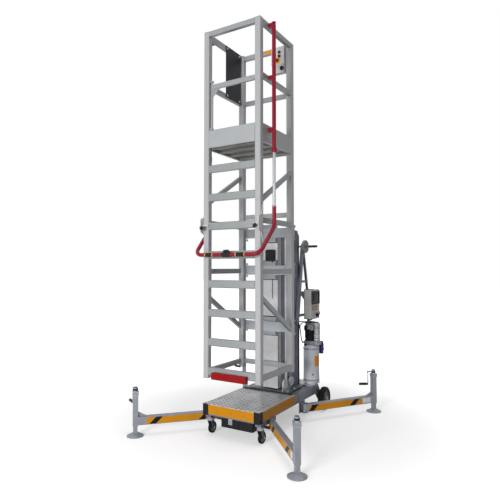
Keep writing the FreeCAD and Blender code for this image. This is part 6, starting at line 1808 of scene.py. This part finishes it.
# %% Toe boards and hinge caps
LIP_LOW, LIP_HIGH = 2.957, 2.9615
LIP_WIDE = 0.024
BOARD_LEVELS = (2.815, 2.935)
HINGE_AT = (-0.243, -0.595)

lips = [block((-0.262, y, LIP_LOW), (0.262, y + LIP_WIDE, LIP_HIGH), 0.002, axis=0)
        for y in (-0.6265, 0.0500)]
lips += [block((x, -0.564, LIP_LOW), (x + LIP_WIDE, 0.012, LIP_HIGH), 0.002, axis=1)
         for x in (-0.3245, 0.3005)]
piece("toe_lips", "cage", joined(lips), rail_aluminium)
board_rivet = knob(0.005, 0.002, 0.9, 12)
board_rivets = [turned_to(board_rivet, FRONT, (x, -0.625, z))
                for x in (-0.25, 0.25) for z in BOARD_LEVELS]
board_rivets += [turned_to(board_rivet, (side, 0, 0), (side * 0.323, y, z))
                 for side in SIGNS for y in (-0.55, -0.002) for z in BOARD_LEVELS]
piece("board_rivets", "cage", joined(board_rivets), bright_steel)
hinge_cap = lathe([[0, 0], [0.009, 0], [0.009, 0.003], [0.006, 0.005], [0, 0.005]], 16)
hinge_caps = [moved(hinge_cap, (*HINGE_AT, 3.4583)),
              turned_to(hinge_cap, DOWN, (*HINGE_AT, 2.9727))]
piece("hinge_caps", "cage", joined(hinge_caps), bright_steel)

# %% [markdown]
# The splice plates clamp the posts together with star knobs. A star knob is a
# lathe whose radius swells and falls as it goes round, so its rings are worked
# out one by one instead: the plain ones near the stem, the waved ones at the rim.

# %% Splice knobs
STAR_STEPS = 40
LOBES = 5
LOBE_SWELL = 0.14
STAR_PROFILE = ((0.4, 0), (0.42, 0.45), (0.92, 0.5), (1.0, 0.6), (1.0, 0.85), (0.86, 1))
KNOB_AT = (0.300, -0.6695, 2.000)


def star_knob(radius, height):
    """A knob whose rim waves: radius * (1 + swell * cos(lobes * angle))."""
    angle = np.linspace(0, 2 * np.pi, STAR_STEPS, endpoint=False)
    wave = LOBE_SWELL * np.cos(LOBES * angle)
    rings = []
    for share, level in STAR_PROFILE:
        reach = radius * share * (1 + wave * (share > 0.5))
        rings.append(np.stack([reach * np.cos(angle), reach * np.sin(angle),
                               np.full(STAR_STEPS, height * level)], axis=-1))
    return capped(np.stack(rings))


star = turned_to(star_knob(0.021, 0.026), FRONT)
piece("splice_knobs", "cage", copies(star, np.array(KNOB_AT) * [(side, 1, 1) for side in SIGNS]),
      black_moulding)

# %% [markdown]
# The box on the middle saddle looks down at the ladder through a round window,
# and a cable gland ends it below. Window and gland are one black piece, since
# they are the same plastic and sit on the same body.

# %% Sensor window
window_ring = lathe([
    [0, 0], [0.034, 0], [0.036, 0.003], [0.033, 0.007], [0.028, 0.006], [0.027, 0.004],
    [0, 0.003]], 32)
sensor_gland = lathe([[0, 0], [0.009, 0], [0.009, 0.008], [0.006, 0.014], [0, 0.014]], 14)
window = joined([turned_to(window_ring, FRONT, (0.019, 0.0915, 1.752)),
                 turned_to(sensor_gland, DOWN, (0.048, 0.112, 1.687))])
piece("sensor_window", "cage", window, black_moulding)

# %% [markdown]
# Over the black motor sits a grey valve head with a blank-faced gauge, hexagon
# plugs and a black coil. The photograph shows this corner small and crowded, so
# it is a plain reading of it: a lathed cover, one block and a few hexagons.

# %% Valve head
GAUGE_AT = (0.252, 0.607, 0.937)

head_cover = lathe([
    [0, 0.905], [MOTOR_RADIUS + 0.0065, 0.905], [MOTOR_RADIUS + 0.0085, 0.908],
    [MOTOR_RADIUS + 0.0085, 0.955], [MOTOR_RADIUS + 0.004, 0.968], [0.040, 0.974],
    [0, 0.975]], 36)
gauge_case = lathe([
    [0, 0], [0.021, 0], [0.021, 0.012], [0.019, 0.016], [0.0175, 0.016], [0.0175, 0.012],
    [0, 0.012]], 28)
head_parts = [moved(head_cover, (*MOTOR_AT, 0)),
              block((0.188, 0.628, 0.972), (0.292, 0.690, 1.006), 0.005),
              turned_to(gauge_case, FRONT, GAUGE_AT)]
head_parts += [turned_to(hexagon(0.0105, 0.010), FRONT, (x, 0.6285, 0.989))
               for x in (0.207, 0.232, 0.272)]
head_parts += [turned_to(hexagon(0.0095, 0.012), (-1, 0, 0), (0.1885, y, 0.988))
               for y in (0.645, 0.672)]
head_parts.append(moved(hexagon(0.012, 0.010), (0.212, 0.660, 1.0055)))
piece("valve_head", "chassis", joined(head_parts), plate_zinc)
gauge_face = turned_to(puck(0.0170, 0.0012, 24), FRONT, (GAUGE_AT[0], 0.5955, GAUGE_AT[2]))
piece("gauge_face", "chassis", gauge_face, plain_white)
coil = block((0.186, 0.592, 0.905), (0.216, 0.618, 0.958), 0.005)
piece("valve_coil", "chassis", coil, black_moulding)

# %% [markdown]
# Two rigid steel pipes leave the valve head, bent towards the mast, each with a
# nut where it enters. A pipe is a ring carried along a smooth route through a few
# corners. It could be a curve object with a bevel, but the ring gives an even
# mesh straight away and needs no conversion.

# %% Steel pipes
PIPE_RADIUS = 0.0042
PIPE_ROUTES = (
    ((0.181, 0.645, 0.988), (0.164, 0.644, 0.988), (0.150, 0.632, 0.984),
     (0.147, 0.600, 0.978), (0.147, 0.560, 0.972), (0.147, 0.515, 0.968)),
    ((0.181, 0.672, 0.988), (0.152, 0.671, 0.987), (0.130, 0.655, 0.970),
     (0.125, 0.610, 0.930), (0.125, 0.560, 0.915), (0.125, 0.515, 0.912)))

pipes = [tube(smooth_route(route, 6), PIPE_RADIUS, 10) for route in PIPE_ROUTES]
pipes += [turned_to(hexagon(0.0085, 0.012), BACK, (x, duct_high[1] + 0.002, z))
          for x, y, z in (route[-1] for route in PIPE_ROUTES)]
piece("steel_pipes", "chassis", joined(pipes), bright_steel)

# %% [markdown]
# A breather stands on the oil filter, and straps hold both. Straps are rings, a
# small rectangle carried round the axis, because a solid disc would fill the
# filter that runs through it.

# %% Filter head and straps
FILTER_AT = (0.312, 0.662)

filter_head = lathe([
    [0, -0.002], [0.0305, -0.002], [0.0310, 0.006], [0.0250, 0.012], [0.0250, 0.050],
    [0.0290, 0.055], [0.0290, 0.086], [0.0230, 0.096], [0.0100, 0.100], [0, 0.100]], 28)
piece("filter_head", "chassis", moved(filter_head, (*FILTER_AT, 0.905)), nylon_white)
straps = [moved(hoop(0.024, 0.0262, 0.003, 28), (*FILTER_AT, z)) for z in (0.925, 0.945)]
straps += [moved(hoop(0.029, 0.0312, 0.004, 28), (*FILTER_AT, z)) for z in (0.820, 0.868)]
piece("filter_straps", "chassis", joined(straps), dark_zinc)

# %% [markdown]
# Every hose ends in a crimped ferrule. The hoses belong to the frame, so the
# ferrules are set at the hoses' own ends, behind the mast and at the valve
# block, and each is turned to lie along its hose.

# %% Hose ferrules
HOSE_ENDS = ((BACK, (0.130, duct_high[1], 1.004)), (BACK, (0.139, duct_high[1], 0.972)),
             (UP, (0.329, 0.699, 0.786)), ((-1, 0, 0), (0.175, 0.636, 0.763)))
ferrule = lathe([
    [0.0062, 0], [0.0105, 0], [0.0105, 0.010], [0.0088, 0.012], [0.0088, 0.032],
    [0.0062, 0.034]], 16)
ferrules = [turned_to(ferrule, way, place) for way, place in HOSE_ENDS]
piece("hose_ferrules", "chassis", joined(ferrules), bright_steel)

# %% [markdown]
# The trim may stand a little proud of the frame, but the machine's size is the
# frame's.

# %% Finish
bpy.context.view_layer.update()
